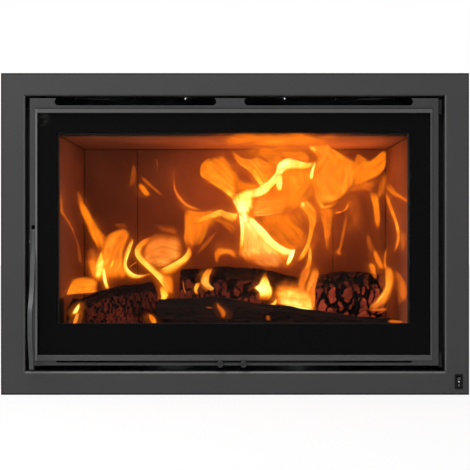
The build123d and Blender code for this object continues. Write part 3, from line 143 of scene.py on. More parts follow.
class Finish:
    """A procedural material, with short calls that add nodes and join them."""

    def __init__(self, name, **values):
        self.material = bpy.data.materials.new(name)
        self.material.use_nodes = True
        self.tree = self.material.node_tree
        self.tree.nodes.clear()
        self.output = self.add("ShaderNodeOutputMaterial")
        self.shader = self.add("ShaderNodeBsdfPrincipled")
        for socket in self.shader.inputs:
            label = socket.name.lower().replace(" ", "_")
            if label in values:
                socket.default_value = values[label]
        self.place = self.add("ShaderNodeTexCoord").outputs["Object"]
        self.show(self.shader.outputs["BSDF"])

    def add(self, kind, inputs=None, **settings):
        return add_node(self.tree, kind, inputs, **settings)

    def show(self, surface):
        self.tree.links.new(surface, self.output.inputs["Surface"])

    def set(self, socket, source):
        self.tree.links.new(source, self.shader.inputs[socket])

    def colour(self, value, *stops):
        """Sets the base colour to a ramp along a value, with its stops in eye values."""
        self.set("Base Color", self.ramp(value, *((at, rgb(*tone)) for at, tone in stops)))

    def gloss(self, value, low, high):
        """Sets the roughness from low to high along a value."""
        self.set("Roughness", self.spread(value, low, high))

    def maths(self, operation, a, b=0.0, clamp=False):
        return self.add("ShaderNodeMath", {0: a, 1: b}, operation=operation, use_clamp=clamp).outputs[0]

    def times(self, first, *others):
        for other in others:
            first = self.maths("MULTIPLY", first, other)
        return first

    def plus(self, first, *others):
        for other in others:
            first = self.maths("ADD", first, other)
        return first

    def minus(self, a, b, clamp=False):
        return self.maths("SUBTRACT", a, b, clamp)

    def without(self, share):
        """What a share leaves of 1."""
        return self.minus(1.0, share)

    def size(self, value):
        return self.maths("ABSOLUTE", value)

    def swing(self, noise_value, width):
        """A noise that swings round 0 by half of this width."""
        return self.times(self.minus(noise_value, 0.5), width)

    def distance(self, place):
        """How far a point lies from this place."""
        pair = {0: self.place, 1: place}
        return self.add("ShaderNodeVectorMath", pair, operation="DISTANCE").outputs["Value"]

    def over(self, share, colour):
        """Lays a colour over what feeds the base colour, as far as the share says."""
        beneath = self.shader.inputs["Base Color"].links[0].from_socket
        self.set("Base Color", self.blend(share, beneath, colour))

    def within(self, value, middle, half, soft=0.0005):
        """1 where the value is this near to the middle, 0 a little further off."""
        return self.step(self.size(self.minus(value, middle)), half + soft, half - soft)

    def blend(self, share, a, b):
        return self.add("ShaderNodeMix", {0: share, 6: a, 7: b}, data_type="RGBA").outputs[2]

    def mixed(self, share, a, b):
        """Two shaders, mixed."""
        return self.add("ShaderNodeMixShader", {0: share, 1: a, 2: b}).outputs[0]

    def stretched(self, scale, turn=(0, 0, 0), place=None):
        inputs = {"Vector": place or self.place, "Scale": scale, "Rotation": turn}
        return self.add("ShaderNodeMapping", inputs).outputs[0]

    def cloud(self, scale, detail=3.0, rough=0.5, place=None, twist=0.0):
        inputs = {
            "Vector": place or self.place,
            "Scale": scale,
            "Detail": detail,
            "Roughness": rough,
            "Distortion": twist,
        }
        return self.add("ShaderNodeTexNoise", inputs).outputs[0]

    def step(self, value, start, end):
        inputs = {"Value": value, "From Min": start, "From Max": end}
        return self.add("ShaderNodeMapRange", inputs, interpolation_type="SMOOTHSTEP").outputs[0]

    def spread(self, value, low, high):
        inputs = {"Value": value, "To Min": low, "To Max": high}
        return self.add("ShaderNodeMapRange", inputs).outputs[0]

    def ramp(self, value, *stops):
        node = self.add("ShaderNodeValToRGB", {0: value})
        elements = node.color_ramp.elements
        while len(elements) < len(stops):
            elements.new(1.0)
        for element, (at, colour) in zip(elements, stops):
            element.position = at
            element.color = colour
        return node.outputs[0]

    def axes(self):
        return tuple(self.add("ShaderNodeSeparateXYZ", {0: self.place}).outputs)

    def reading(self, name):
        return self.add("ShaderNodeAttribute", attribute_name=name).outputs["Fac"]

    def bump(self, height, strength, distance):
        inputs = {"Height": height, "Strength": strength, "Distance": distance}
        self.set("Normal", self.add("ShaderNodeBump", inputs).outputs[0])


def rgb(*values):
    """A colour written as eye values from 0 to 255, turned into the linear colour that a shader takes."""
    def linear(v):
        v = v / 255
        return v / 12.92 if v <= 0.04045 else ((v + 0.055) / 1.055) ** 2.4
    return tuple(linear(v) for v in values) + (1.0,)


def slot_nodes(slot):
    """The CAD nodes that the record finishes with this slot."""
    return [part["node"] for part in frame["record"]["subparts"] if part["material_slot"] == slot]


def dress(finish, *slots):
    """Gives a finish to every CAD node of these slots."""
    names = [node for slot in slots for node in slot_nodes(slot)]
    for name in names:
        holder = frame["nodes"][name]
        if not holder.material_slots:
            holder.data.materials.append(finish.material)
        for place in holder.material_slots:
            place.material = finish.material
    print(finish.material.name, "on", ", ".join(names))

# %% [markdown]
# The studio is a white floor under plain soft light: one big softbox above and in front, a weaker one far
# out at the left, and dim light from all round. White is the floor's own colour. Cameras and reflections
# see it as plain white, and it still keeps the object's soft shadow.

# %% Build the studio
FLOOR_HALF = 9.0
FLOOR_TONE = 0.86
FLOOR_GLOW_SHARE = 0.75
ROOM_LIGHT = 0.36
WHITE = (1, 1, 1, 1)
SOFTBOXES = {
    "softbox_above": ((-0.75, -1.15, 2.05), (1.9, 1.2), 46.0),
    "softbox_left": ((-2.1, -2.3, 1.7), (1.4, 1.4), 16.0),
}
AIM = Vector((0, 0, 0.27))

floor_mesh = bpy.data.meshes.new("floor")
corners = [(-1, -1), (1, -1), (1, 1), (-1, 1)]
floor_mesh.from_pydata([(x * FLOOR_HALF, y * FLOOR_HALF, 0) for x, y in corners], [], [(0, 1, 2, 3)])
new_object("floor", floor_mesh)


def seen_directly(tree):
    """1 for what the camera, a reflection or clear glass sees, 0 for light that only falls on things."""
    path = add_node(tree, "ShaderNodeLightPath").outputs
    total = path["Is Camera Ray"]
    for name in ("Is Glossy Ray", "Is Transmission Ray"):
        total = add_node(tree, "ShaderNodeMath", {0: total, 1: path[name]}, operation="MAXIMUM").outputs[0]
    return total


def new_lamp(name, kind, place, power):
    """A lamp that lights the scene and isn't seen itself."""
    data = bpy.data.lights.new(name, kind)
    data.energy = power
    lamp = new_object(name, data)
    lamp.location = place
    lamp.visible_camera = False
    return lamp


studio_floor = Finish("studio_floor", base_color=(FLOOR_TONE, FLOOR_TONE, FLOOR_TONE, 1), roughness=0.9)
floor_glow = studio_floor.add("ShaderNodeEmission", {"Color": WHITE, "Strength": 1.0}).outputs[0]
floor_share = studio_floor.times(seen_directly(studio_floor.tree), FLOOR_GLOW_SHARE)
studio_floor.show(studio_floor.mixed(floor_share, studio_floor.shader.outputs[0], floor_glow))
floor_mesh.materials.append(studio_floor.material)

world = bpy.data.worlds.new("studio_world")
world.use_nodes = True
bpy.context.scene.world = world
sky = world.node_tree
dim = sky.nodes["Background"]
dim.inputs["Color"].default_value = (ROOM_LIGHT, ROOM_LIGHT, ROOM_LIGHT, 1)
white = add_node(sky, "ShaderNodeBackground", {"Color": WHITE})
sky_parts = {0: seen_directly(sky), 1: dim.outputs[0], 2: white.outputs[0]}
sky_mix = add_node(sky, "ShaderNodeMixShader", sky_parts)
sky.links.new(sky_mix.outputs[0], sky.nodes["World Output"].inputs["Surface"])

for name, (place, size, power) in SOFTBOXES.items():
    lamp = new_lamp(name, "AREA", place, power)
    lamp.data.shape = "RECTANGLE"
    lamp.data.size, lamp.data.size_y = size
    lamp.rotation_euler = (AIM - Vector(place)).to_track_quat("-Z", "Y").to_euler()
print("softboxes:", len(SOFTBOXES))

# %% [markdown]
# ## Painted steel
#
# The trim, the door and the lever are folded steel with a matt heat-proof paint. Such paint is sprayed
# thin: up close it has a fine orange-peel grain, it is a little uneven over a hand's width, and it polishes
# slightly where fingers and cloths pass. One function makes them all, and each piece gets its own tone and
# gloss.

# %% Mix the heat-proof paints
def heat_proof_paint(name, colour, roughness, grain=0.12, specular=0.2):
    finish = Finish(name, specular_ior_level=specular)
    drift = finish.cloud(5.0, 2.0)
    speck = finish.cloud(2600.0, 2.0)
    dark, light, bright = (tuple(c * share for c in colour[:3]) + (1,) for share in (0.88, 1.12, 1.35))
    tone = finish.blend(drift, dark, light)
    finish.set("Base Color", finish.blend(finish.step(speck, 0.45, 0.75), tone, bright))
    wiped = finish.cloud(14.0, 4.0, 0.6, finish.stretched((1, 1, 0.35)))
    finish.gloss(wiped, roughness - 0.08, roughness + 0.1)
    finish.bump(finish.cloud(1500.0, 3.0), grain, 0.0004)
    dress(finish, name)
    return finish


front_paint = heat_proof_paint("front_paint", rgb(56, 56, 56), 0.5)
bezel_paint = heat_proof_paint("bezel_paint", rgb(60, 60, 60), 0.42, 0.08, 0.3)
heat_proof_paint("handle_paint", rgb(60, 61, 61), 0.42, 0.1, 0.35)
heat_proof_paint("knob_metal", rgb(36, 36, 36), 0.45, 0.06, 0.25)
black_steel = heat_proof_paint("black_steel", rgb(38, 37, 36), 0.62, 0.25, 0.15)

# %% [markdown]
# A folded sheet shows its folds as lines, and here their light and shade are painted. The outer fold of
# the trim turns away from the softboxes, so painted shade makes it a thin dark line. The inner fold at the
# bottom looks up into the light and gets a painted highlight, the brightest line of the whole front, and
# the upright ones get a weaker one. The bezel gets a painted highlight on its left side and in a band under
# its top, and a painted shadow in the seam above it. Painted shade fills the air slot under the bezel and
# the gap beside the door on its hinge side. Each line is a mask in the piece's own coordinates, a few
# millimetres wide.

# %% Paint light and shade on the folds and seams
PAINTED_FOLD_SHADE = rgb(10, 10, 10)
PAINTED_FOLD_HIGHLIGHT = rgb(112, 112, 110)
OUTER_FOLD = (0.0034, 0.0018)
INNER_FOLD = 0.0014
SLOT_HEIGHT = 0.0564
SLOT_HALF = 0.302
HINGE_SIDE = 0.344

px, py, pz = front_paint.axes()
side = front_paint.size(px)
to_side = front_paint.minus(trim_high.x, side)
to_top = front_paint.minus(trim_high.z, pz)
to_edge = front_paint.maths("MINIMUM", front_paint.maths("MINIMUM", to_side, to_top), pz)
on_front = front_paint.step(py, FRONT + 0.005, FRONT + 0.002)
# Painted shade: the outer fold of the trim is darkened to a thin dark line and loses its gloss.
painted_outer_fold_shade = front_paint.times(front_paint.step(to_edge, *OUTER_FOLD), on_front)
front_paint.over(front_paint.times(painted_outer_fold_shade, 0.85), PAINTED_FOLD_SHADE)
front_paint.set("Specular IOR Level", front_paint.spread(painted_outer_fold_shade, 0.2, 0.0))
between_sides = front_paint.step(side, OPENING_HALF + 0.001, OPENING_HALF - 0.001)
between_ends = front_paint.within(pz, (OPENING_BASE + OPENING_TOP) / 2, (OPENING_TOP - OPENING_BASE) / 2)
in_opening = front_paint.times(between_sides, between_ends)
front_paint.over(front_paint.times(in_opening, 0.16), rgb(20, 20, 20))
# Painted highlight on the trim's inner fold at the bottom, brightest in the middle, and a weaker one on the
# upright inner folds.
base_fold_highlight = front_paint.within(pz, OPENING_BASE - 0.0016, INNER_FOLD, 0.0006)
highlight_centre_share = front_paint.spread(front_paint.step(side, 0.36, 0.1), 0.62, 1.0)
front_paint.over(front_paint.times(base_fold_highlight, between_sides, highlight_centre_share), PAINTED_FOLD_HIGHLIGHT)
side_fold_highlight = front_paint.within(side, OPENING_HALF + 0.0014, 0.001)
front_paint.over(front_paint.times(side_fold_highlight, between_ends, 0.38), PAINTED_FOLD_HIGHLIGHT)
# Painted shade in the air slot under the bezel.
at_slot = front_paint.within(pz, SLOT_HEIGHT, 0.0018)
painted_slot_shade = front_paint.times(at_slot, front_paint.within(side, 0.0, SLOT_HALF, 0.006))
front_paint.over(front_paint.times(painted_slot_shade, in_opening), rgb(4, 4, 4))

bx, _, bz = bezel_paint.axes()
# Painted highlights on the bezel's left edge and in a band under its top, and a painted shadow in the seam
# along its top edge.
bezel_paint.over(bezel_paint.step(bx, bezel_low.x + 0.0042, bezel_low.x + 0.0028), rgb(94, 94, 92))
top_band = bezel_paint.within(bz, bezel_high.z - 0.0052, 0.003)
bezel_paint.over(bezel_paint.times(top_band, 0.6), rgb(78, 78, 77))
bezel_paint.over(bezel_paint.step(bz, bezel_high.z - 0.0024, bezel_high.z - 0.0016), rgb(14, 14, 14))

kx, ky, _ = black_steel.axes()
# Painted shade on the black steel in the gap beside the door, on its hinge side.
beside_door = black_steel.step(kx, HINGE_SIDE, HINGE_SIDE + 0.002)
painted_hinge_gap_shade = black_steel.times(beside_door, black_steel.step(ky, FRONT + 0.014, FRONT + 0.011))
black_steel.over(black_steel.times(painted_hinge_gap_shade, 0.75), rgb(6, 6, 6))
print("front paint, nodes:", len(front_paint.tree.nodes))

# %% [markdown]
# The casing is galvanised sheet. Zinc freezes on steel in crystals, the spangle, each reflecting a little
# differently, so Voronoi cells set the tone and the gloss. The screws, feet and bolts are bright zinc plate,
# smoother, with a thin haze and the odd darker spot. The bolts round the flue, seen through the vents,
# get painted shade that makes them near-black.

# %% Plate the casing and the fixings
galvanised = Finish("galvanised_sheet", metallic=1.0, specular_ior_level=0.5)
spangle = galvanised.add("ShaderNodeTexVoronoi", {"Vector": galvanised.place, "Scale": 85.0})
crystal = galvanised.maths("FRACT", galvanised.times(spangle.outputs["Color"], 7.3))
haze = galvanised.cloud(9.0, 4.0, 0.6)
tone = galvanised.plus(galvanised.times(crystal, 0.35), galvanised.times(haze, 0.65))
galvanised.colour(tone, (0.2, (138, 143, 147)), (0.8, (186, 190, 193)))
galvanised.gloss(tone, 0.5, 0.34)
galvanised.bump(galvanised.cloud(260.0, 2.0), 0.08, 0.0005)
dress(galvanised, "galvanised_sheet")


def one_cloud_finish(name, cloud, stops, gloss=None, **values):
    """A finish whose tone and gloss both follow one cloud, and that cloud."""
    finish = Finish(name, **values)
    skin = finish.cloud(*cloud)
    finish.colour(skin, *stops)
    if gloss:
        finish.gloss(skin, *gloss)
    return finish, skin


zinc_stops = ((0.3, (150, 151, 148)), (0.7, (205, 206, 202)))
bright_zinc, _ = one_cloud_finish(
    "bright_zinc", (120.0, 4.0, 0.65), zinc_stops, (0.42, 0.24), metallic=1.0
)
bright_zinc.bump(bright_zinc.cloud(900.0, 2.0), 0.1, 0.0002)
zx, _, zz = bright_zinc.axes()
# Painted shade: the bolts round the flue, seen through the vents, are darkened to near black.
flue_shade_band = bright_zinc.within(zz, 0.512, 0.035, 0.004)
flue_bolts_painted_shade = bright_zinc.times(bright_zinc.within(zx, 0.0, 0.12, 0.01), flue_shade_band)
bright_zinc.over(flue_bolts_painted_shade, rgb(24, 22, 20))
dress(bright_zinc, "bright_zinc")

# %% [markdown]
# Plastic and rope. The rocker switch is glossy moulded plastic, the fan blades are matt glass-filled
# plastic with a faint grain, the gland is plain nylon and the fan frames are cast aluminium. The rope seal
# is knitted glass fibre rubbed with graphite, so two crossed waves raise its stitches.

# %% Make the plastics, the cast metal and the rope
switch_stops = ((0.4, (9, 9, 9)), (0.8, (18, 18, 18)))
switch_plastic, _ = one_cloud_finish(
    "switch_plastic", (420.0, 3.0, 0.6), switch_stops, (0.26, 0.42), specular_ior_level=0.14
)
switch_plastic.bump(switch_plastic.cloud(3000.0, 1.0), 0.05, 0.0002)
dress(switch_plastic, "switch_plastic")

fan_stops = ((0.3, (26, 26, 27)), (0.8, (48, 47, 46)))
fan_plastic, fan_grain = one_cloud_finish("fan_plastic", (700.0, 4.0, 0.6), fan_stops, (0.48, 0.66))
fan_plastic.bump(fan_grain, 0.12, 0.0003)
dress(fan_plastic, "fan_plastic", "gland_plastic")

cast_stops = ((0.25, (118, 119, 120)), (0.8, (176, 177, 178)))
fan_metal, cast_skin = one_cloud_finish(
    "fan_metal", (380.0, 5.0, 0.65), cast_stops, (0.55, 0.38), metallic=1.0
)
fan_metal.bump(cast_skin, 0.22, 0.0004)
dress(fan_metal, "fan_metal")

rope_seal = Finish("rope_seal", roughness=0.95, sheen_weight=0.2)
waves = []
for turn in (45, -45):
    slanted = rope_seal.stretched((1, 1, 1), (0, math.radians(turn), 0))
    knit = {"Vector": slanted, "Scale": 130.0, "Distortion": 1.2}
    waves.append(rope_seal.add("ShaderNodeTexWave", knit).outputs["Fac"])
stitches = rope_seal.maths("MAXIMUM", *waves)
rope_seal.colour(stitches, (0.2, (34, 34, 33)), (0.9, (104, 103, 99)))
rope_seal.bump(stitches, 0.6, 0.001)
dress(rope_seal, "rope_seal")

# %% [markdown]
# The rocker is printed with the usual marks: a ring for off at the top, a bar for on at the bottom, and a
# bright pilot dot between them. Each mark is a flat prism a tenth of a millimetre proud. Its outline is
# thrown onto the rocker along the line of sight, because the rocker's face is tilted, and it rides with it.

# %% Print the rocker's marks
MARK_PROUD = 0.0001
MARK_SUNK = 0.0004
MARK_STEPS = 32
RING_OUTER = 0.0021
RING_INNER = 0.0013
RING_ABOVE = 0.0058
DOT_RADIUS = 0.0012
BAR_HALF = (0.0005, 0.0018)
BAR_BELOW = 0.0056
rocker_low, rocker_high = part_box("switch_rocker")
ROCKER_X = (rocker_low.x + rocker_high.x) / 2
ROCKER_Z = (rocker_low.z + rocker_high.z) / 2

rocker_shape = bmesh.new()
rocker_shape.from_mesh(frame["nodes"]["switch_rocker"].data)
rocker_tree = BVHTree.FromBMesh(rocker_shape)


def rocker_face(x, z):
    """The place on the rocker's front that is seen at (x, z)."""
    hit = rocker_tree.ray_cast(Vector((x, rocker_low.y - 0.01, z)), Vector((0, 1, 0)))[0]
    return hit or Vector((x, rocker_low.y + 0.004, z))


def mark(name, outer, inner, finish):
    """A closed flat prism between an outer outline and an inner one, or a full one without the inner."""
    shape = bmesh.new()
    rings = []
    for outline in (outer, inner):
        for shift in (-MARK_PROUD, MARK_SUNK):
            places = [rocker_face(x, z) + Vector((0, shift, 0)) for x, z in outline or ()]
            rings.append([shape.verts.new(place) for place in places])
    outer_front, outer_back, inner_front, inner_back = rings
    count = len(outer)
    for k in range(count):
        n = (k + 1) % count
        shape.faces.new((outer_front[k], outer_back[k], outer_back[n], outer_front[n]))
        if inner:
            shape.faces.new((inner_front[n], inner_back[n], inner_back[k], inner_front[k]))
            shape.faces.new((outer_front[n], inner_front[n], inner_front[k], outer_front[k]))
            shape.faces.new((outer_back[k], inner_back[k], inner_back[n], outer_back[n]))
    if not inner:
        shape.faces.new(reversed(outer_front))
        shape.faces.new(outer_back)
    bmesh.ops.recalc_face_normals(shape, faces=shape.faces)
    mesh = bpy.data.meshes.new(name)
    shape.to_mesh(mesh)
    shape.free()
    mesh.materials.append(finish.material)
    piece = new_object(name, mesh)
    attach(piece, "rocker")


def circle(x, z, radius):
    """Points round a circle that faces the front."""
    turns = [2 * math.pi * k / MARK_STEPS for k in range(MARK_STEPS)]
    return [(x + radius * math.cos(t), z + radius * math.sin(t)) for t in turns]


ink_stops = ((0.3, (92, 92, 92)), (0.7, (128, 128, 127)))
print_ink = one_cloud_finish("mark_ink", (1800.0, 3.0, 0.6), ink_stops, roughness=0.6)[0]
lens_stops = ((0.3, (206, 206, 202)), (0.7, (236, 236, 232)))
pilot_ink = one_cloud_finish("pilot_lens", (900.0, 2.0), lens_stops, roughness=0.3)[0]
off_place = (ROCKER_X, ROCKER_Z + RING_ABOVE)
mark("mark_off", circle(*off_place, RING_OUTER), circle(*off_place, RING_INNER), print_ink)
mark("pilot_dot", circle(ROCKER_X, ROCKER_Z + 0.0004, DOT_RADIUS), None, pilot_ink)
bar = [(-BAR_HALF[0], -BAR_HALF[1]), (BAR_HALF[0], -BAR_HALF[1]), BAR_HALF, (-BAR_HALF[0], BAR_HALF[1])]
mark("mark_on", [(ROCKER_X + x, ROCKER_Z - BAR_BELOW + z) for x, z in bar], None, print_ink)
rocker_shape.free()
print("rocker marks: 3")

# %% [markdown]
# ## The glass
#
# The door's pane is ceramic glass with a black print round its edge. The print is a mask in the pane's own
# coordinates: inside the clear rectangle the pane is see-through with a faint gloss, outside it is black
# enamel. The print's edge is soft for a few millimetres, as dots of enamel fade out there.

# %% Print the border on the pane
PRINT_FADE = 0.0022
ENAMEL = rgb(9, 9, 9)

glass = Finish("door_glass", base_color=ENAMEL, roughness=0.16, specular_ior_level=0.03)
pane_x, _, pane_z = glass.axes()
edges = []
for value, (low, high) in ((pane_x, CLEAR_X), (pane_z, CLEAR_Z)):
    edges.append(glass.step(value, low - PRINT_FADE, low + PRINT_FADE))
    edges.append(glass.step(value, high + PRINT_FADE, high - PRINT_FADE))
clear = glass.times(*edges)
smears = glass.cloud(9.0, 4.0, 0.6, glass.stretched((1, 1, 0.4), (0, 0.5, 0)))
# A painted reflection: a faint lighter patch on the black print near the top-left corner.
to_painted_reflection = glass.distance((pane_low.x + 0.013, pane_low.y, pane_high.z - 0.016))
painted_reflection_patch = glass.times(glass.step(to_painted_reflection, 0.016, 0.003), glass.step(glass.cloud(90.0), 0.35, 0.7))
glass.set("Base Color", glass.blend(painted_reflection_patch, ENAMEL, rgb(46, 45, 43)))
glass.gloss(smears, 0.1, 0.24)
see_through = glass.add("ShaderNodeBsdfTransparent", {"Color": (0.97, 0.97, 0.96, 1)}).outputs[0]
mirror = glass.add("ShaderNodeBsdfGlossy", {"Color": WHITE, "Roughness": 0.03}).outputs[0]
# Only the skin that the light enters by mirrors anything: the see-through shader doesn't bend light, so the
# far skin would otherwise turn into a full mirror at a slant.
far_skin = glass.add("ShaderNodeNewGeometry").outputs["Backfacing"]
mirror_share = glass.add("ShaderNodeFresnel", {"IOR": 1.1}).outputs[0]
mirror_share = glass.times(mirror_share, glass.without(far_skin))
window = glass.mixed(mirror_share, see_through, mirror)
glass.show(glass.mixed(clear, glass.shader.outputs[0], window))
dress(glass, "door_glass")

# %% [markdown]
# ## The fire-lit linings
#
# The boards are pale vermiculite, but behind the glass they are seen by firelight: deep orange near the
# flames, brown in the far corner, dark with soot in every joint. The glow is an emission that fades with
# distance from the fire's hottest part. A joint is a place that is near two of the chamber's planes at once,
# so one sum finds them all.

# %% Light and soot the linings
HOT_SPOT = (0.1, CHAMBER_BACK - 0.16, CHAMBER_TOP + 0.01)
DARK_FOOT_TOP = 0.163
DARK_FOOT_BACK = 0.076
JOINT_WIDTH = 0.0035
PANEL_JOINT_WIDTH = 0.0018
GLOW_REACH = 0.34
GLOW_STRENGTH = 0.46
FAR_GLOW = 0.045
FIRELIGHT = (1.0, 0.15, 0.018, 1)
CORNER_SHADE_WIDTH = 0.05

lining = Finish("lining_board", roughness=0.9, specular_ior_level=0.1)
board_x, board_y, board_z = lining.axes()


def near(value, level, width):
    """1 on a plane of the chamber, fading to 0 at this distance from it."""
    return lining.step(lining.size(lining.minus(value, level)), width, 0.0)


def near_two(width):
    """1 where two of the chamber's planes meet, fading to 0 at this distance, and how near the back is."""
    side = near(lining.size(board_x), CHAMBER_HALF, width)
    back = near(board_y, CHAMBER_BACK, width)
    top = near(board_z, CHAMBER_TOP, width)
    return lining.minus(lining.plus(side, back, top), 1.0, clamp=True), back


corner_joint, at_back = near_two(JOINT_WIDTH)
panel_joint = lining.times(near(lining.size(board_x), abs(PANEL_JOINT), PANEL_JOINT_WIDTH), at_back)
joint = lining.times(lining.maths("MAXIMUM", corner_joint, panel_joint), 0.8)
# Painted shade dims the painted firelight in a broad soft band along the corners.
corner_painted_shade = near_two(CORNER_SHADE_WIDTH)[0]

soot = lining.cloud(6.0, 5.0, 0.6)
grain = lining.cloud(420.0, 4.0, 0.7)
board_tone = lining.ramp(soot, (0.3, rgb(84, 44, 30)), (0.7, rgb(124, 74, 52)))
board_tone = lining.blend(lining.step(grain, 0.55, 0.7), board_tone, rgb(140, 88, 62))
lining.set("Base Color", lining.blend(joint, board_tone, rgb(26, 14, 10)))
heat = lining.step(lining.distance(HOT_SPOT), GLOW_REACH, 0.02)
glow = lining.plus(lining.times(heat, GLOW_STRENGTH), FAR_GLOW)
glow = lining.times(glow, lining.spread(soot, 0.5, 1.4), lining.spread(corner_painted_shade, 1.0, 0.5))
# The left board's front foot is coloured near-black, and the glow is taken away there.
foot_end = FRONT + DARK_FOOT_BACK
foot = lining.times(
    lining.step(board_x, -CHAMBER_HALF + 0.03, -CHAMBER_HALF + 0.02),
    lining.step(board_z, DARK_FOOT_TOP + 0.003, DARK_FOOT_TOP - 0.003),
    lining.step(board_y, foot_end + 0.004, foot_end),
)
lining.over(foot, rgb(9, 6, 5))
# The baffle's upper side is out of the fire and furred with soot.
above_fire = lining.step(board_z, CHAMBER_TOP + 0.001, CHAMBER_TOP + 0.006)
lining.over(above_fire, rgb(20, 17, 15))
glow = lining.times(glow, lining.spread(foot, 1.0, 0.02), lining.without(above_fire), lining.without(joint))
lining.shader.inputs["Emission Color"].default_value = FIRELIGHT
lining.set("Emission Strength", glow)
lining.bump(grain, 0.35, 0.0006)
dress(lining, "lining_board")

# %% [markdown]
# ## Charred logs
#
# Burning bark cracks into plates, like a dry river bed. Each CAD log is a plain split shape, right in size
# and place. Its copy is remeshed into small even faces, then each point is pushed in where it lies near the
# border between two cells of a stretched Voronoi pattern, which cuts the cracks, and moved a little by a
# coarser noise, which makes the wood lumpy. The crack depth is kept as an attribute, so the material is
# black in the same cracks and glows only on the plates between them.

# %% Char the logs
LOG_VOXEL = 0.0024
CRACK_DEPTH = 0.003
LUMP_HEIGHT = 0.004
# Per log: the way it points, its plates' length along and width across in metres, and how much it glows.
LOGS = {
    "log_front": ((0.998, -0.036, -0.05), 0.03, 0.008, 0.03),
    "log_left": ((0.914, 0.39, 0.11), 0.0065, 0.018, 0.4),
    "log_right": ((0.997, 0.08, 0.0), 0.016, 0.05, 1.5),
    "log_back": ((0.998, 0.044, -0.033), 0.012, 0.026, 0.7),
    "log_corner": ((0.0, 1.0, 0.0), 0.02, 0.02, 0.0),
}


def copy_of_node(node, name):
    """A merged copy of a CAD node's mesh as an object of its own, ready for modifiers."""
    mesh = frame["nodes"][node].data.copy()
    mesh.name = name
    shape = bmesh.new()
    shape.from_mesh(mesh)
    bmesh.ops.remove_doubles(shape, verts=shape.verts, dist=1e-5)
    shape.to_mesh(mesh)
    shape.free()
    return new_object(name, mesh)


def made_plain(piece):
    """Turns a piece's modifiers into its mesh."""
    graph = bpy.context.evaluated_depsgraph_get()
    mesh = bpy.data.meshes.new_from_object(piece.evaluated_get(graph), depsgraph=graph)
    piece.modifiers.clear()
    piece.data = mesh
    mesh.name = piece.name
    return piece


def remeshed_copy(node, name, voxel):
    """A copy of a CAD node, rebuilt from small even faces."""
    piece = copy_of_node(node, name)
    modifier = piece.modifiers.new("even_faces", "REMESH")
    modifier.mode = "VOXEL"
    modifier.voxel_size = voxel
    modifier.use_smooth_shade = True
    return made_plain(piece)


def takes_place_of(piece, node):
    """Puts a piece on the fixed body in place of a CAD node."""
    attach(piece, "insert")
    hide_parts(node)


def crack_and_lump(piece, along, plate_length, plate_width, depth, lump, share_glowing=1.0):
    """Pushes the cell borders in and keeps their depth in the attribute crack."""
    axis = Vector(along).normalized()
    mesh = piece.data
    normals = [vertex.normal.copy() for vertex in mesh.vertices]
    crack = mesh.attributes.new("crack", "FLOAT", "POINT")
    for vertex, normal in zip(mesh.vertices, normals):
        spot = vertex.co
        run = axis * spot.dot(axis)
        cell_place = run / plate_length + (spot - run) / plate_width
        wander = noise.noise_vector(spot * 30) * 0.34 + noise.noise_vector(spot * 160) * 0.16
        distances = noise.voronoi(cell_place + wander)[0]
        width = 0.17 + 0.12 * noise.noise(spot * 45)
        border = min(1.0, (distances[1] - distances[0]) / max(0.05, width))
        openness = (1 - border) ** 1.2
        swell = noise.fractal(spot * 22, 1.0, 2.0, 4)
        fine = noise.fractal(spot * 140, 0.9, 2.0, 3)
        vertex.co = spot + normal * (lump * swell * 0.6 - depth * openness + 0.0006 * fine - 0.001)
        crack.data[vertex.index].value = openness
    glow = mesh.attributes.new("glow", "FLOAT", "POINT")
    glow.data.foreach_set("value", [share_glowing] * len(mesh.vertices))
    mesh.update()


charred_logs = []
for node, (along, plate_length, plate_width, share_glowing) in LOGS.items():
    log = remeshed_copy(node, "charred_" + node, LOG_VOXEL)
    crack_and_lump(log, along, plate_length, plate_width, CRACK_DEPTH, LUMP_HEIGHT, share_glowing)
    takes_place_of(log, node)
    charred_logs.append(log)
    print(log.name, len(log.data.polygons), "faces")

# %% [markdown]
# Char is a soft black that drinks light, but the plates' faces glow dull red, with small brighter sparks.
# The glow is strongest low down, near the embers, and dies on the upper sides, which have burnt black. Each
# log has its own share of it, and a slow noise breaks it into patches, because some plates have gone out.

# %% Colour the char
DULL_RED = (1.0, 0.12, 0.05, 1)
SPARK_RED = (1.0, 0.2, 0.1, 1)
GLOW_HEIGHTS = (0.235, 0.14)

char = Finish("charred_wood", roughness=0.9, specular_ior_level=0.08)
char_z = char.axes()[2]
crack = char.reading("crack")
plate_tone = char.cloud(60.0, 4.0, 0.6)
fine_char = char.cloud(500.0, 3.0, 0.6)
skin = char.ramp(plate_tone, (0.3, rgb(7, 4, 3)), (0.75, rgb(28, 13, 9)))
skin = char.blend(char.step(fine_char, 0.6, 0.85), skin, rgb(44, 22, 15))
char.set("Base Color", char.blend(crack, skin, rgb(2, 1, 1)))
normal = char.add("ShaderNodeNewGeometry").outputs["Normal"]
facing_up = char.add("ShaderNodeSeparateXYZ", {0: normal}).outputs["Z"]
burnt_top = char.step(facing_up, 0.35, 0.85)
patches = char.step(char.cloud(20.0, 3.0, 0.6), 0.3, 0.6)
sparks = char.step(char.cloud(210.0, 2.0, 0.6), 0.64, 0.74)
glow_level = char.times(
    char.spread(char.step(char_z, *GLOW_HEIGHTS), 0.25, 1.0),
    char.spread(patches, 0.35, 1.0),
    char.maths("POWER", char.step(crack, 0.45, 0.0), 2.0),
    char.reading("glow"),
    char.spread(burnt_top, 1.0, 0.05),
    char.spread(plate_tone, 0.1, 1.7),
    char.spread(char.cloud(190.0, 3.0, 0.6), 0.1, 1.6),
    char.spread(sparks, 0.26, 0.85),
)
char.set("Emission Color", char.blend(sparks, DULL_RED, SPARK_RED))
char.set("Emission Strength", glow_level)
char.gloss(fine_char, 0.7, 0.95)
char.bump(fine_char, 0.5, 0.0008)


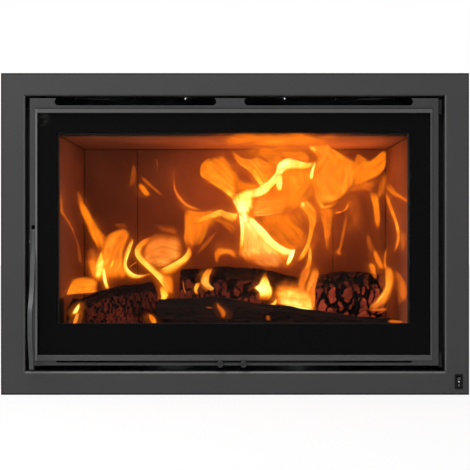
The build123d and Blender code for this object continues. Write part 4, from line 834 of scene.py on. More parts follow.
def coated_with(piece, finish):
    """Gives a piece this one finish."""
    piece.data.materials.clear()
    piece.data.materials.append(finish.material)


for log in charred_logs:
    coated_with(log, char)
print("charred logs:", len(charred_logs))

# %% [markdown]
# ## The ember bed
#
# Under the logs lies a bed of ash and charcoal. Its copy is remeshed and roughened in the same way, and then
# Geometry Nodes scatter charcoal lumps over its upper side. Each lump is a coarse icosphere, turned and
# stretched at random from fixed seeds, so the bed looks the same on every run.

# %% Roughen the bed and scatter the charcoal
BED_VOXEL = 0.004
BED_LUMP_HEIGHT = 0.006
LUMP_SPACING = 0.02
LUMP_RADIUS = 0.0085

bed = remeshed_copy("ember_bed", "ember_heap", BED_VOXEL)
crack_and_lump(bed, (1, 0, 0), 0.022, 0.02, CRACK_DEPTH, BED_LUMP_HEIGHT)
for vertex in bed.data.vertices:
    vertex.co.z = max(vertex.co.z, HEARTH_TOP)
takes_place_of(bed, "ember_bed")


def node_group(name, inputs):
    """An empty Geometry Nodes tree with one geometry in and out, and these named inputs."""
    tree = bpy.data.node_groups.new(name, "GeometryNodeTree")
    tree.interface.new_socket("Geometry", in_out="INPUT", socket_type="NodeSocketGeometry")
    for label, kind, value in inputs:
        socket = tree.interface.new_socket(label, in_out="INPUT", socket_type=kind)
        socket.default_value = value
    tree.interface.new_socket("Geometry", in_out="OUTPUT", socket_type="NodeSocketGeometry")
    return tree


def run_tree(piece, tree):
    """Puts the tree on a piece and keeps what it makes as a plain mesh."""
    piece.modifiers.new(tree.name, "NODES").node_group = tree
    return made_plain(piece)


scatter = node_group("scattered_lumps", [
    ("Spacing", "NodeSocketFloat", LUMP_SPACING),
    ("Size", "NodeSocketFloat", LUMP_RADIUS),
    ("Seed", "NodeSocketInt", 11),
])
given = add_node(scatter, "NodeGroupInput").outputs
upward = add_node(scatter, "GeometryNodeInputNormal").outputs[0]
lift = add_node(scatter, "ShaderNodeSeparateXYZ", {0: upward}).outputs["Z"]
on_top = add_node(scatter, "FunctionNodeCompare", {0: lift, 1: 0.5}, operation="GREATER_THAN").outputs[0]
points = add_node(scatter, "GeometryNodeDistributePointsOnFaces", {
    "Mesh": given["Geometry"],
    "Selection": on_top,
    "Distance Min": given["Spacing"],
    "Density Max": 6000.0,
    "Seed": given["Seed"],
}, distribute_method="POISSON")
lump_shape = {"Radius": given["Size"], "Subdivisions": 2}
lump = add_node(scatter, "GeometryNodeMeshIcoSphere", lump_shape).outputs[0]
turn_range = {0: (0, 0, 0), 1: (6.28, 6.28, 6.28), "Seed": 3}
turn = add_node(scatter, "FunctionNodeRandomValue", turn_range, data_type="FLOAT_VECTOR")
stretch_range = {0: (0.6, 0.5, 0.4), 1: (1.7, 1.1, 0.9), "Seed": 5}
stretch = add_node(scatter, "FunctionNodeRandomValue", stretch_range, data_type="FLOAT_VECTOR")
lumps = add_node(scatter, "GeometryNodeInstanceOnPoints", {
    "Points": points.outputs["Points"],
    "Instance": lump,
    "Rotation": turn.outputs[0],
    "Scale": stretch.outputs[0],
}).outputs[0]
solid = add_node(scatter, "GeometryNodeRealizeInstances", {0: lumps}).outputs[0]
where = add_node(scatter, "GeometryNodeInputPosition").outputs[0]
rough = add_node(scatter, "ShaderNodeTexNoise", {"Vector": where, "Scale": 150.0, "Detail": 2.0})
to_centre = {0: rough.outputs["Color"], 1: (0.5, 0.5, 0.5)}
centred = add_node(scatter, "ShaderNodeVectorMath", to_centre, operation="SUBTRACT").outputs[0]
shift = add_node(scatter, "ShaderNodeVectorMath", {0: centred, 3: 0.008}, operation="SCALE").outputs[0]
jagged = add_node(scatter, "GeometryNodeSetPosition", {"Geometry": solid, "Offset": shift}).outputs[0]
coating = add_node(scatter, "GeometryNodeSetMaterial", {"Geometry": jagged})
add_node(scatter, "NodeGroupOutput", {0: coating.outputs[0]})
print("ember heap", len(bed.data.polygons), "faces")

# %% [markdown]
# Embers are hottest where air reaches them from below, between the lumps. Their crust is grey ash over black
# charcoal, with orange showing through wherever the noise opens it.

# %% Colour the embers
ember = Finish("glowing_embers", roughness=0.95, specular_ior_level=0.1)
ash_tone = ember.cloud(45.0, 5.0, 0.65)
ember.colour(ash_tone, (0.35, (22, 17, 15)), (0.7, (112, 98, 88)))
open_spots = ember.step(ember.cloud(38.0, 4.0, 0.6), 0.5, 0.68)
ember.set("Emission Color", ember.ramp(open_spots, (0.0, (0.6, 0.04, 0.01, 1)), (1.0, (1.0, 0.32, 0.06, 1))))
ember.set("Emission Strength", ember.times(open_spots, 0.6))
ember.bump(ember.cloud(300.0, 4.0, 0.7), 0.6, 0.001)
coating.inputs["Material"].default_value = ember.material
coated_with(bed, ember)

charcoal = new_object("charcoal_lumps", bed.data.copy())
run_tree(charcoal, scatter)
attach(charcoal, "insert")
print("charcoal", len(charcoal.data.polygons), "faces")

# %% [markdown]
# ## The flames
#
# A flame is a thin sheet of glowing gas between two edges that the draught folds. Each sheet below is
# given with how far behind the trim's front it stands in millimetres, how dense it is, how milky, and
# how softly its two edges and its two ends fade. Each row is one line across it: the two edge points in
# millimetres, as they are seen through the window, and the heat at both, from 0, a dull red wisp, to 100,
# almost white. Density, milk, softness and heat are all in percent.

# %% Place the sheets
SHEETS = {
    "ceiling_glow": (60, 90, 5, (50, 50, 50, 50), (
        (-77, 423, -80, 449, 20, 18), (-33, 423, -36, 449, 28, 28), (17, 423, 14, 449, 38, 42),
        (68, 423, 65, 449, 40, 46), (119, 423, 116, 449, 38, 42), (171, 422, 166, 449, 32, 34),
        (265, 422, 258, 447, 24, 22),
    )),
    "edge_glow": (200, 80, 10, (60, 60, 60, 60), (
        (-34, 401, -33, 432, 26, 26), (17, 398, 19, 434, 34, 34), (68, 398, 70, 434, 36, 36),
        (128, 398, 128, 434, 36, 36), (196, 398, 189, 432, 28, 28),
    )),
    "upper_glow": (330, 80, 15, (80, 80, 50, 50), (
        (-51, 350, -34, 428, 22, 20), (0, 312, 8, 432, 30, 26), (68, 271, 68, 434, 36, 30),
        (137, 258, 131, 434, 36, 32), (196, 302, 196, 432, 32, 26), (268, 350, 265, 425, 22, 18),
    )),
    "amber_glow": (320, 90, 0, (50, 40, 35, 60), (
        (29, 312, 121, 333, 33, 36), (39, 299, 125, 309, 33, 36), (53, 282, 128, 285, 33, 35),
        (68, 263, 126, 264, 33, 33), (85, 247, 119, 244, 30, 30), (97, 237, 114, 230, 22, 22),
    )),
    "low_glow": (318, 75, 10, (80, 80, 50, 60), (
        (-87, 290, 188, 295, 22, 22), (-77, 264, 188, 264, 28, 26), (-43, 237, 162, 237, 30, 26),
        (-17, 213, 145, 213, 26, 24),
    )),
    "left_haze": (300, 24, 20, (80, 80, 50, 60), (
        (-289, 290, -183, 295, 14, 18), (-289, 256, -176, 264, 18, 22), (-292, 227, -176, 227, 20, 24),
        (-295, 196, -179, 188, 22, 22), (-292, 176, -196, 169, 20, 15),
    )),
    "right_haze": (300, 40, 20, (80, 80, 50, 60), (
        (179, 333, 285, 333, 18, 18), (188, 290, 288, 290, 18, 20), (205, 247, 288, 247, 18, 24),
        (230, 205, 292, 205, 20, 26), (241, 162, 292, 162, 22, 22),
    )),
    "far_left_streak": (26, 75, 25, (40, 70, 60, 30), (
        (-292, 382.3, -290, 382.3, 10, 10), (-300, 362, -285, 364, 24, 20),
        (-300.2, 343, -292, 343, 34, 30), (-300.2, 327.6, -293, 327.6, 46, 40),
        (-300, 315, -291, 317, 46, 40), (-292.7, 304.6, -287.9, 307.2, 36, 34),
        (-284.2, 291.8, -280.7, 293.2, 32, 30), (-276.7, 278.1, -274.6, 278.8, 26, 24),
        (-272.6, 264.5, -271.2, 264.8, 20, 20), (-266.4, 247.4, -264.7, 247.4, 15, 15),
    )),
    "left_streak": (150, 95, 0, (30, 45, 50, 35), (
        (-272.2, 360.1, -269.8, 360.1, 10, 10), (-271, 343, -263, 346, 26, 20),
        (-267, 324, -257, 328, 38, 32), (-261, 305, -244, 307, 43, 40), (-253, 287, -233, 287, 46, 43),
        (-246, 271, -225, 273, 46, 44), (-238, 254, -220, 256, 46, 45), (-232, 239, -217, 241, 45, 42),
    )),
    "left_lobe": (232, 93, 15, (30, 22, 16, 50), (
        (-212, 280, -186, 287, 42, 50), (-221, 270, -179, 274, 42, 52), (-225, 257, -184, 257, 44, 46),
        (-230, 242, -189, 242, 48, 46), (-234, 226, -190, 224, 56, 46), (-237, 210, -185, 209, 55, 44),
        (-235, 196, -190, 194, 40, 30), (-229, 184, -198, 184, 25, 15),
    )),
    "lobe_crest": (228, 60, 10, (80, 30, 30, 40), (
        (-215, 271, -208, 280, 45, 46), (-205, 268, -198, 284, 45, 50), (-195, 263, -188, 286, 45, 55),
        (-190, 254, -180, 278, 42, 50),
    )),
    "left_core": (222, 95, 0, (40, 50, 25, 50), (
        (-228.8, 250, -227.5, 250, 50, 50), (-233, 237, -224, 239, 68, 66), (-239, 224, -221, 227, 78, 76),
        (-242, 211, -219, 212, 82, 78), (-241, 200, -225, 200, 72, 70), (-237, 189, -229, 191, 50, 50),
    )),
    "left_flash": (220, 90, 0, (45, 50, 30, 60), (
        (-204.6, 236.3, -203.2, 235.8, 60, 60), (-211.8, 226.1, -204.9, 226.9, 72, 66),
        (-215.9, 215.8, -208.4, 215.8, 66, 60), (-216.2, 204.7, -210.7, 203.9, 50, 46),
    )),
    "left_root": (218, 95, 0, (35, 30, 40, 30), (
        (-224.4, 226.9, -222.7, 226.9, 60, 60), (-226.8, 211.6, -220.3, 211.6, 76, 80),
        (-226.1, 197.9, -218.6, 198.7, 80, 82), (-223, 185.9, -215.9, 187.6, 74, 76),
        (-217.9, 176.6, -213.5, 178.1, 60, 60),
    )),
    "left_puff": (236, 85, 10, (50, 50, 35, 40), (
        (-250, 235, -237, 238, 40, 45), (-253, 227, -234, 226, 46, 52), (-250, 216, -233, 213, 48, 56),
        (-245, 205, -234, 202, 48, 50), (-241.8, 195.3, -235, 194.5, 36, 36),
    )),
    "low_left_sheet": (120, 92, 5, (12, 35, 10, 40), (
        (-289.3, 169.6, -287.6, 171.6, 50, 50), (-281, 171, -280, 192, 52, 48),
        (-272, 172, -273, 200, 50, 44), (-260, 173, -259, 203, 50, 45), (-249, 174, -247, 202, 50, 47),
        (-238, 176, -236, 196, 46, 45), (-232, 177, -231, 188, 30, 30),
    )),
    "low_left_rim": (112, 80, 10, (50, 60, 30, 40), (
        (-289.6, 168.9, -288.3, 169.9, 60, 60), (-286.2, 174.7, -282.8, 174, 66, 60),
        (-281.8, 185.9, -277.3, 184.2, 62, 50), (-277, 197, -272, 193, 50, 44),
    )),
    "hook": (214, 97, 5, (60, 14, 25, 35), (
        (-180.4, 270.6, -177.6, 274.7, 50, 62), (-184, 257, -173, 265, 50, 72),
        (-189, 243, -176, 252, 52, 76), (-192, 229, -182, 236, 55, 80), (-192, 217, -185, 224, 56, 82),
        (-186, 206, -181, 214, 56, 80), (-176, 199, -171, 207, 54, 78),
        (-160.9, 198.6, -159.5, 205.1, 52, 74), (-146.2, 203, -145.5, 208.5, 50, 68),
        (-133.2, 207.1, -133.2, 212.9, 45, 60),
    )),
    "hook_thread": (214, 70, 10, (40, 40, 40, 40), (
        (-182.7, 216.7, -182.1, 215.6, 40, 40), (-174.9, 223.8, -174.2, 222.1, 50, 50),
        (-165.7, 229.3, -165, 227.9, 44, 44),
    )),
    "swirl_body": (250, 88, 60, (45, 35, 35, 35), (
        (-166, 253, -162, 232, 36, 42), (-154, 263, -152, 224, 42, 48), (-143, 271, -142, 217, 42, 54),
        (-130, 275, -129, 215, 38, 56), (-114, 276, -113, 220, 38, 58), (-99, 272, -98, 227, 40, 56),
        (-84, 264, -84, 235, 38, 48),
    )),
    "swirl_bright": (246, 50, 90, (70, 70, 60, 60), (
        (-132, 251, -128, 237, 60, 60), (-118, 259, -114, 236, 66, 66), (-103, 259, -100, 239, 68, 68),
        (-91, 257, -89, 243, 60, 60),
    )),
    "swirl_rim": (226, 97, 10, (14, 50, 25, 25), (
        (-134.9, 271.3, -134.9, 268.6, 45, 42), (-146.9, 269.6, -144.2, 263.5, 52, 48),
        (-160, 263, -154, 254, 58, 52), (-169, 253, -158, 247, 62, 56), (-171, 242, -158, 239, 64, 62),
        (-166, 230, -151, 230, 66, 70), (-153, 217, -140, 220, 66, 74), (-140, 205, -128, 210, 66, 74),
        (-130, 194, -117, 199, 62, 72), (-123, 184, -110, 186, 58, 68), (-122, 173, -112, 173, 62, 66),
        (-125.7, 163.1, -117.9, 162.7, 60, 60),
    )),
    "swirl_skirt": (205, 85, 15, (30, 35, 40, 40), (
        (-128, 210, -106, 210, 50, 46), (-125, 196, -104, 193, 52, 46), (-122, 183, -104, 179, 50, 42),
        (-118, 172, -106, 169, 42, 36),
    )),
    "swirl_foot": (196, 95, 0, (30, 35, 35, 30), (
        (-128.1, 191.1, -124.7, 191.1, 50, 50), (-129, 179, -118, 179, 66, 66),
        (-127, 169, -113, 170, 78, 70), (-128, 160, -120, 161, 62, 60),
        (-129.1, 153.5, -125.4, 153.5, 40, 40),
    )),
    "under_arc": (228, 96, 10, (55, 12, 35, 30), (
        (-131, 202, -137, 212, 40, 60), (-120, 203, -125, 217, 45, 70), (-105, 208, -110, 224, 48, 76),
        (-91, 218, -94, 233, 50, 78), (-79, 229, -84, 242, 48, 76), (-73, 240, -80, 252, 42, 62),
        (-72, 251, -79, 261, 35, 46),
    )),
    "swirl_rise": (240, 90, 10, (10, 60, 30, 50), (
        (-86, 321, -50, 314, 38, 40), (-87, 307, -31, 304, 42, 36), (-87, 295, -33, 294, 46, 32),
        (-87, 280, -44, 278, 47, 28), (-88, 266, -56, 263, 46, 26), (-85, 253, -63, 249, 42, 22),
        (-79, 239, -70, 237, 36, 16),
    )),
    "rise_streak": (238, 60, 10, (60, 60, 40, 50), (
        (-80, 312, -70, 311, 45, 45), (-82, 292, -72, 290, 52, 50), (-83, 271, -73, 268, 54, 50),
        (-81, 252.5, -74.2, 250.8, 46, 40),
    )),
    "rise_fold": (237, 50, 10, (60, 30, 40, 50), (
        (-55, 295, -44, 295, 40, 46), (-60, 275, -51, 271, 38, 46), (-67, 256, -61, 251, 30, 38),
    )),
    "arm": (232, 95, 10, (50, 20, 40, 20), (
        (-85, 288, -85, 302, 38, 40), (-68, 290, -69, 299, 40, 50), (-53, 294, -55, 306, 46, 56),
        (-38, 300, -38, 313, 54, 64), (-25, 304, -24, 317, 60, 70), (-15, 299, -12, 313, 60, 68),
        (-5, 294, 0, 310, 62, 70), (5, 292, 10, 312, 70, 78),
    )),
    "arm_fold": (240, 85, 10, (50, 45, 40, 40), (
        (-87, 309, -91, 319, 36, 38), (-67, 305, -68, 315, 38, 42), (-46.2, 307.8, -46.2, 315, 40, 42),
        (-32.5, 314, -30.8, 318.1, 36, 36),
    )),
    "wisp": (238, 80, 30, (50, 40, 50, 35), (
        (-106.6, 390.8, -105.2, 390.8, 16, 16), (-106.3, 370.3, -102.8, 370.3, 30, 32),
        (-104.9, 349.8, -99.8, 352.2, 42, 44), (-97, 334, -92, 338, 46, 50), (-85, 322, -81, 327, 46, 48),
        (-68.4, 315, -66, 321.5, 42, 44), (-49.6, 313, -47.9, 318.1, 34, 36),
    )),
    "fan_skirt": (258, 85, 0, (50, 40, 30, 40), (
        (-19, 387, -10, 398, 32, 30), (-12, 367, 2, 381, 38, 32), (-3, 350, 17, 367, 42, 36),
        (15, 346, 39, 362, 44, 38), (32, 346, 49, 360, 44, 40),
    )),
    "fan": (256, 96, 5, (14, 30, 12, 35), (
        (-61, 377, -61, 387, 42, 40), (-55, 369, -54, 398, 46, 38), (-46, 364, -43, 405, 50, 38),
        (-34, 357, -29, 409, 52, 38), (-22, 349, -16, 406, 56, 38), (-10, 340, -7, 393, 62, 36),
        (-2, 334, 2, 370, 62, 36), (8, 331, 14, 353, 50, 34),
    )),
    "fan_edge": (250, 85, 0, (20, 70, 40, 30), (
        (-53, 367.6, -49.6, 372.7, 46, 42), (-39, 360, -35, 367, 55, 44), (-24, 350, -19, 359, 62, 46),
        (-10, 339, -5, 350, 70, 50), (0, 331, 5, 340, 76, 60),
    )),
    "fan_left_edge": (252, 70, 0, (20, 70, 30, 40), (
        (-60.8, 380.6, -56.4, 382.3, 50, 42), (-58.1, 392.5, -52.3, 389.8, 48, 40),
        (-50, 402, -46, 396, 44, 38), (-37.6, 407.2, -35.9, 401.1, 40, 36),
    )),
    "tongue_a": (262, 90, 10, (15, 25, 30, 35), (
        (-8.6, 419.2, -7.2, 419.8, 32, 32), (-1, 404, 1, 413, 42, 38), (8, 393, 12, 406, 48, 40),
        (22, 383, 26, 403, 54, 42), (32, 371, 39, 406, 55, 44), (44, 359, 53, 403, 55, 44),
        (56, 360, 68, 394, 52, 45), (68, 370, 75, 387, 45, 45),
    )),
    "tongue_b": (266, 88, 5, (30, 30, 25, 35), (
        (39, 414, 39, 430, 32, 32), (46, 406, 49, 426, 36, 34), (56, 397, 62, 421, 40, 40),
        (68, 391, 75, 414, 44, 44), (78, 387, 84, 410, 48, 50),
    )),
    "tongue_c": (258, 90, 10, (35, 25, 30, 30), (
        (74, 413, 73, 422, 34, 32), (84, 406, 86, 416, 42, 40), (96, 404, 100, 415, 50, 44),
        (107, 402, 114, 417, 52, 42), (119, 398, 124, 412, 50, 42), (128, 394, 132, 405, 45, 42),
    )),
    "crown": (230, 97, 0, (28, 30, 15, 25), (
        (3, 329, -2, 348, 78, 66), (20, 333, 17, 352, 84, 70), (39, 337, 35, 355, 86, 74),
        (55, 344, 48, 362, 82, 78), (65, 354, 59, 371, 78, 80), (76, 365, 69, 383, 78, 84),
        (83, 378, 73, 396, 84, 88), (93, 384, 89, 406, 80, 90), (107, 385, 104, 403, 70, 78),
        (121, 385, 119, 398, 62, 72), (132, 388, 131, 398, 62, 68), (141, 394.9, 141, 402.8, 62, 60),
    )),
    "crown_root": (224, 93, 0, (25, 50, 30, 50), (
        (-6, 346, 46, 360, 70, 70), (-4, 334, 39, 346, 80, 70), (1, 323, 34, 331, 90, 74),
        (6, 311, 31, 314, 94, 84), (9, 297, 27, 297, 88, 80),
    )),
    "crown_core": (226, 85, 0, (60, 60, 40, 50), (
        (77, 377, 72, 387, 95, 95), (84, 387, 79, 397, 100, 100), (92, 391, 89, 401, 100, 100),
        (102.4, 391.8, 101.3, 398.7, 95, 95),
    )),
    "crown_drop": (222, 90, 0, (30, 30, 30, 40), (
        (69, 381, 82, 381, 70, 72), (69, 367, 82, 365, 78, 78), (69, 355, 81, 353, 78, 76),
        (71, 346, 79, 345, 66, 64),
    )),
    "crown_rim": (240, 90, 0, (35, 50, 35, 30), (
        (26.9, 394.2, 31.3, 394.2, 52, 50), (27, 382, 39, 383, 62, 58), (33, 369, 45, 373, 70, 66),
        (41, 357, 54, 360, 76, 72), (46, 346, 59, 350, 78, 74),
    )),
    "crown_fall": (226, 90, 0, (40, 50, 30, 50), (
        (41, 355, 53, 357, 85, 85), (46, 347, 55, 348, 90, 86), (48.4, 338.9, 53.5, 338.9, 70, 66),
    )),
    "inner_body": (262, 95, 12, (50, 35, 25, 50), (
        (70, 389, 133, 391, 46, 44), (68, 372, 133, 374, 46, 44), (67, 358, 131, 358, 44, 38),
        (63, 343, 130, 345, 42, 35), (56, 328, 126, 331, 42, 35), (46, 314, 121, 317, 40, 35),
        (36, 302, 113, 304, 36, 32),
    )),
    "inner_glow": (300, 90, 10, (50, 40, 35, 50), (
        (63, 401, 142, 404, 42, 42), (56, 374, 142, 377, 46, 44), (46, 346, 142, 350, 46, 42),
        (32, 323, 135, 326, 44, 40), (29, 295, 125, 302, 36, 34),
    )),
    "inner_deep": (258, 55, 0, (70, 70, 50, 50), (
        (96, 367, 119, 367, 33, 33), (94, 353, 119, 353, 33, 33), (92, 340, 116, 340, 33, 34),
    )),
    "shoulder": (244, 90, 20, (14, 75, 35, 50), (
        (20, 304, 24, 334, 66, 70), (36, 303, 39, 345, 60, 62), (51, 304, 56, 353, 54, 54),
        (68, 305, 77, 360, 47, 46), (85, 309, 97, 362, 42, 40), (102, 314, 114, 360, 38, 38),
    )),
    "shoulder_rim": (240, 75, 30, (35, 60, 40, 40), (
        (27.2, 305.5, 27.9, 309.6, 70, 66), (42.6, 305.5, 43.3, 309.2, 70, 62),
        (58, 306.5, 58, 311.3, 62, 56), (71.6, 310.6, 71, 315.7, 50, 46),
    )),
    "big_shine": (238, 65, 0, (70, 70, 50, 50), (
        (17, 333, 29, 338, 90, 92), (19, 321, 36, 326, 92, 90), (20, 311, 32, 312, 90, 86),
    )),
    "column": (236, 97, 35, (16, 30, 20, 35), (
        (-12, 345, 19, 348, 76, 90), (-6, 333, 29, 338, 82, 96), (1, 319, 27, 323, 88, 98),
        (6, 307, 23, 309, 90, 98), (8, 294, 34, 296, 80, 92), (9, 280, 49, 281, 70, 84),
        (8, 264, 63, 264, 62, 78), (8, 251, 80, 252, 56, 76), (8, 239, 96, 247, 50, 78),
        (14, 227, 96, 234, 42, 62), (22, 218, 89, 224, 34, 50),
    )),
    "column_left": (232, 92, 0, (25, 60, 30, 45), (
        (4.4, 317.4, 11.9, 317.4, 86, 90), (7.1, 300.3, 15.3, 300.3, 92, 94),
        (8.5, 283.3, 17, 283.3, 88, 86), (8.5, 266.2, 16.7, 266.2, 80, 76),
        (7.1, 249.1, 14.6, 249.1, 70, 60), (4.7, 233.7, 11.9, 233.7, 50, 40),
    )),
    "column_core": (229, 95, 0, (50, 50, 30, 40), (
        (-9, 340, 5, 342, 80, 84), (-1, 329, 22, 333, 94, 96), (4, 317, 24, 321, 100, 100),
        (8, 305, 23, 308, 100, 100), (10, 295, 26, 297, 96, 98), (14, 285, 29, 287, 86, 88),
    )),
    "sweep": (228, 100, 0, (60, 20, 25, 20), (
        (14, 312, 26, 319, 86, 88), (19, 297, 36, 299, 80, 90), (31, 280, 50, 285, 76, 90),
        (43, 264, 61, 272, 74, 88), (57, 253, 72, 261, 74, 86), (72, 243, 84, 254, 76, 86),
        (85, 237, 94, 250, 84, 90), (96, 237, 106, 253, 84, 86),
    )),
    "sweep_tip": (226, 97, 0, (40, 20, 20, 40), (
        (90, 248, 104, 251, 95, 96), (90, 238, 101, 238, 95, 90), (87.7, 227.6, 96.2, 227.6, 88, 80),
        (86, 218.4, 90.4, 218.4, 60, 55),
    )),
    "column_belly": (244, 75, 75, (35, 35, 40, 45), (
        (15, 264, 53, 259, 60, 66), (15, 249, 75, 244, 58, 62), (20, 235, 89, 230, 54, 56),
        (29, 224, 85, 220, 48, 48), (43, 215, 78, 213, 40, 40),
    )),
    "puff": (262, 80, 15, (50, 35, 35, 40), (
        (-31, 218, -38, 244, 35, 42), (-25, 236, -30, 252, 45, 50), (-14, 240, -17, 251, 46, 52),
        (-5, 235, -5, 249, 46, 52), (3, 227, 5, 244, 50, 56),
    )),
    "puff_left": (262, 70, 20, (50, 50, 30, 50), (
        (-36, 247, -27, 249, 42, 46), (-36.9, 235.5, -28.1, 235.5, 42, 44),
        (-33.2, 221.8, -28.1, 221.8, 30, 30),
    )),
    "big_body": (256, 98, 12, (16, 22, 16, 20), (
        (139, 434, 155, 435, 40, 38), (127, 422, 169, 420, 50, 40), (137, 410, 187, 408, 46, 42),
        (137, 394, 208, 393, 45, 44), (130, 379, 217, 382, 48, 44), (129, 364, 208, 367, 50, 46),
        (134, 348, 196, 351, 50, 47), (138, 333, 181, 336, 54, 48), (141, 320, 164, 323, 62, 54),
    )),
    "big_glow": (250, 50, 35, (70, 70, 50, 50), (
        (142, 393, 179, 391, 50, 50), (140, 375, 184, 374, 52, 52), (142, 357, 179, 355, 53, 53),
        (145, 340, 172, 340, 54, 54),
    )),
    "big_dark": (251, 50, 0, (70, 60, 40, 40), (
        (150, 406, 162, 415, 36, 36), (162, 399, 179, 408, 36, 36), (179, 393, 196, 396, 36, 38),
    )),
    "big_left_rim": (242, 80, 0, (40, 60, 50, 40), (
        (129, 360.1, 135.5, 360.1, 44, 44), (132.1, 348.1, 139.9, 348.1, 48, 46),
        (137, 336, 145, 338, 54, 50), (141, 326, 150, 330, 62, 54), (146, 317, 154, 325, 66, 58),
        (157, 317, 159, 327, 64, 54), (171, 323, 169, 331, 54, 50), (184, 333, 180, 340, 44, 44),
    )),
    "big_streak": (238, 97, 0, (35, 35, 35, 40), (
        (136.5, 402.1, 141, 401.1, 66, 66), (132.1, 392.5, 137.2, 389.8, 76, 78),
        (128.3, 382.3, 135.1, 380.6, 82, 82), (126.6, 372, 133.8, 371.4, 76, 72),
        (128, 364.2, 132.1, 363.5, 55, 55),
    )),
    "top_spark": (246, 92, 0, (40, 40, 30, 40), (
        (124.6, 425, 126.3, 426.7, 50, 50), (129, 418, 132, 426, 68, 70), (134, 415, 137, 422, 74, 68),
        (138, 406, 142, 415, 56, 50),
    )),
    "big_shoulder": (250, 80, 0, (60, 25, 30, 35), (
        (162, 411, 166, 420, 44, 44), (176, 401, 182, 412, 46, 50), (189, 393, 196, 404, 48, 56),
        (203, 387, 210, 396, 50, 58), (213, 382, 218, 389, 46, 50),
    )),
    "big_peak": (262, 85, 5, (40, 40, 40, 30), (
        (142, 439, 152, 439, 30, 30), (137, 430, 160, 430, 36, 36), (133, 420, 171, 418, 42, 40),
    )),
    "wing": (250, 95, 5, (20, 16, 40, 16), (
        (191, 352, 193, 403, 47, 46), (203, 355, 202, 399, 46, 45), (213, 358, 208, 412, 45, 34),
        (222, 362, 218, 404, 43, 40), (232, 368, 230, 401, 41, 40), (243, 374, 242, 409, 39, 38),
        (252, 381, 252, 416, 37, 37), (259, 393, 262, 418, 35, 36),
    )),
    "wing_point": (246, 70, 0, (50, 30, 40, 40), (
        (208.2, 413, 209.9, 413.7, 30, 30), (213, 403, 218, 407, 42, 42), (222, 396, 230, 401, 44, 44),
    )),
    "wing_brown": (270, 75, 10, (50, 40, 40, 60), (
        (184, 343, 189, 357, 36, 40), (200, 345, 205, 360, 34, 38), (215, 346, 220, 364, 32, 36),
        (232, 343, 237, 369, 28, 33), (249, 340, 254, 374, 20, 28),
    )),
    "stem": (224, 96, 8, (22, 30, 12, 25), (
        (110, 328, 120, 334, 66, 56), (111, 321, 130, 328, 64, 50), (118, 311, 138, 316, 52, 46),
        (125, 297, 140, 299, 50, 46), (126, 282, 135, 282, 52, 48), (123.5, 266.2, 131.1, 265.2, 55, 52),
        (118, 251, 126, 249, 56, 50), (110, 237, 118, 234, 54, 48), (101, 226, 107, 223, 40, 36),
    )),
    "stem_head": (220, 85, 20, (50, 60, 30, 50), (
        (111, 328, 116, 333, 70, 66), (111, 322, 120, 329, 84, 66), (114, 315, 125, 321, 66, 52),
    )),
    "stem_twin": (246, 80, 10, (40, 45, 30, 50), (
        (135, 321, 172, 325, 46, 44), (142, 311, 172, 315, 46, 42), (147, 299, 169, 300, 44, 34),
        (150, 282, 165, 282, 40, 30), (154, 261, 163, 259, 36, 28), (157, 237.2, 162.1, 236.1, 30, 24),
    )),
    "stem_edge": (240, 70, 10, (40, 50, 30, 50), (
        (143.3, 312.3, 149.5, 314, 50, 46), (149.1, 291.8, 154.3, 291.8, 48, 42),
        (153.2, 267.9, 157, 267.9, 44, 38), (157, 240.6, 159.7, 240.6, 36, 30),
    )),
    "back_lick": (262, 88, 10, (30, 40, 25, 40), (
        (191.1, 328.7, 194.6, 330, 44, 44), (186.7, 317.4, 193.5, 319.1, 52, 46),
        (177, 310, 184, 314, 50, 42), (164, 309, 171, 316, 46, 42),
    )),
    "back_streak_a": (300, 70, 15, (50, 50, 40, 40), (
        (188, 312, 196, 316, 34, 30), (184, 292, 192, 294, 38, 32), (179.9, 271.3, 187.7, 271.3, 40, 32),
        (175.8, 250.8, 182.6, 250.8, 42, 30), (173.1, 238.9, 179.2, 238.9, 34, 24),
    )),
    "back_spark": (290, 80, 30, (50, 50, 40, 50), (
        (174.1, 249.1, 175.8, 249.8, 40, 40), (173.1, 243, 180.9, 243.3, 50, 46),
        (176.8, 237.8, 183.6, 238.9, 40, 36),
    )),
    "back_streak_b": (300, 40, 40, (50, 50, 40, 40), (
        (208.2, 325.9, 213.3, 327.6, 28, 26), (203.1, 305.5, 208.2, 305.5, 30, 26),
        (199.7, 285, 204.8, 285, 28, 24),
    )),
    "back_streak_c": (300, 40, 30, (50, 50, 50, 40), (
        (223.6, 278.1, 228.7, 278.1, 24, 24), (224, 258, 236, 259, 30, 30), (229, 241, 241, 242, 34, 32),
    )),
    "right_ribbon": (215, 93, 5, (30, 35, 35, 45), (
        (228, 350, 241, 351, 34, 34), (231, 336, 246, 336, 42, 42), (235, 321, 247, 320, 45, 42),
        (237, 305, 248, 305, 42, 38), (240, 290.1, 247.5, 290.1, 34, 30),
        (241.3, 274.7, 245.1, 274.7, 22, 20),
    )),
    "right_branch": (26, 85, 5, (40, 40, 40, 30), (
        (250, 362, 259, 370, 30, 30), (258, 350, 269, 357, 36, 34), (268, 341, 278, 347, 38, 36),
        (280, 336, 286, 340, 42, 38), (289.5, 330.4, 292.9, 334.5, 46, 44), (295.3, 327, 297, 330, 42, 40),
    )),
    "right_thread": (60, 93, 15, (40, 35, 40, 35), (
        (250.9, 361.8, 253.3, 362.5, 30, 30), (254.3, 344.7, 261.1, 346.4, 38, 34),
        (259.4, 327.6, 266.3, 329.4, 44, 40), (265.6, 310.6, 272.1, 312.3, 52, 48),
        (272.4, 293.5, 278.2, 294.5, 58, 52), (275.8, 278.1, 281.6, 278.1, 60, 52),
        (275.1, 262.8, 280.6, 261.1, 54, 46), (270.7, 247.4, 274.8, 245.7, 42, 36),
        (267.3, 237.2, 269.7, 236.1, 30, 28),
    )),
    "right_glow": (40, 50, 10, (60, 60, 50, 50), (
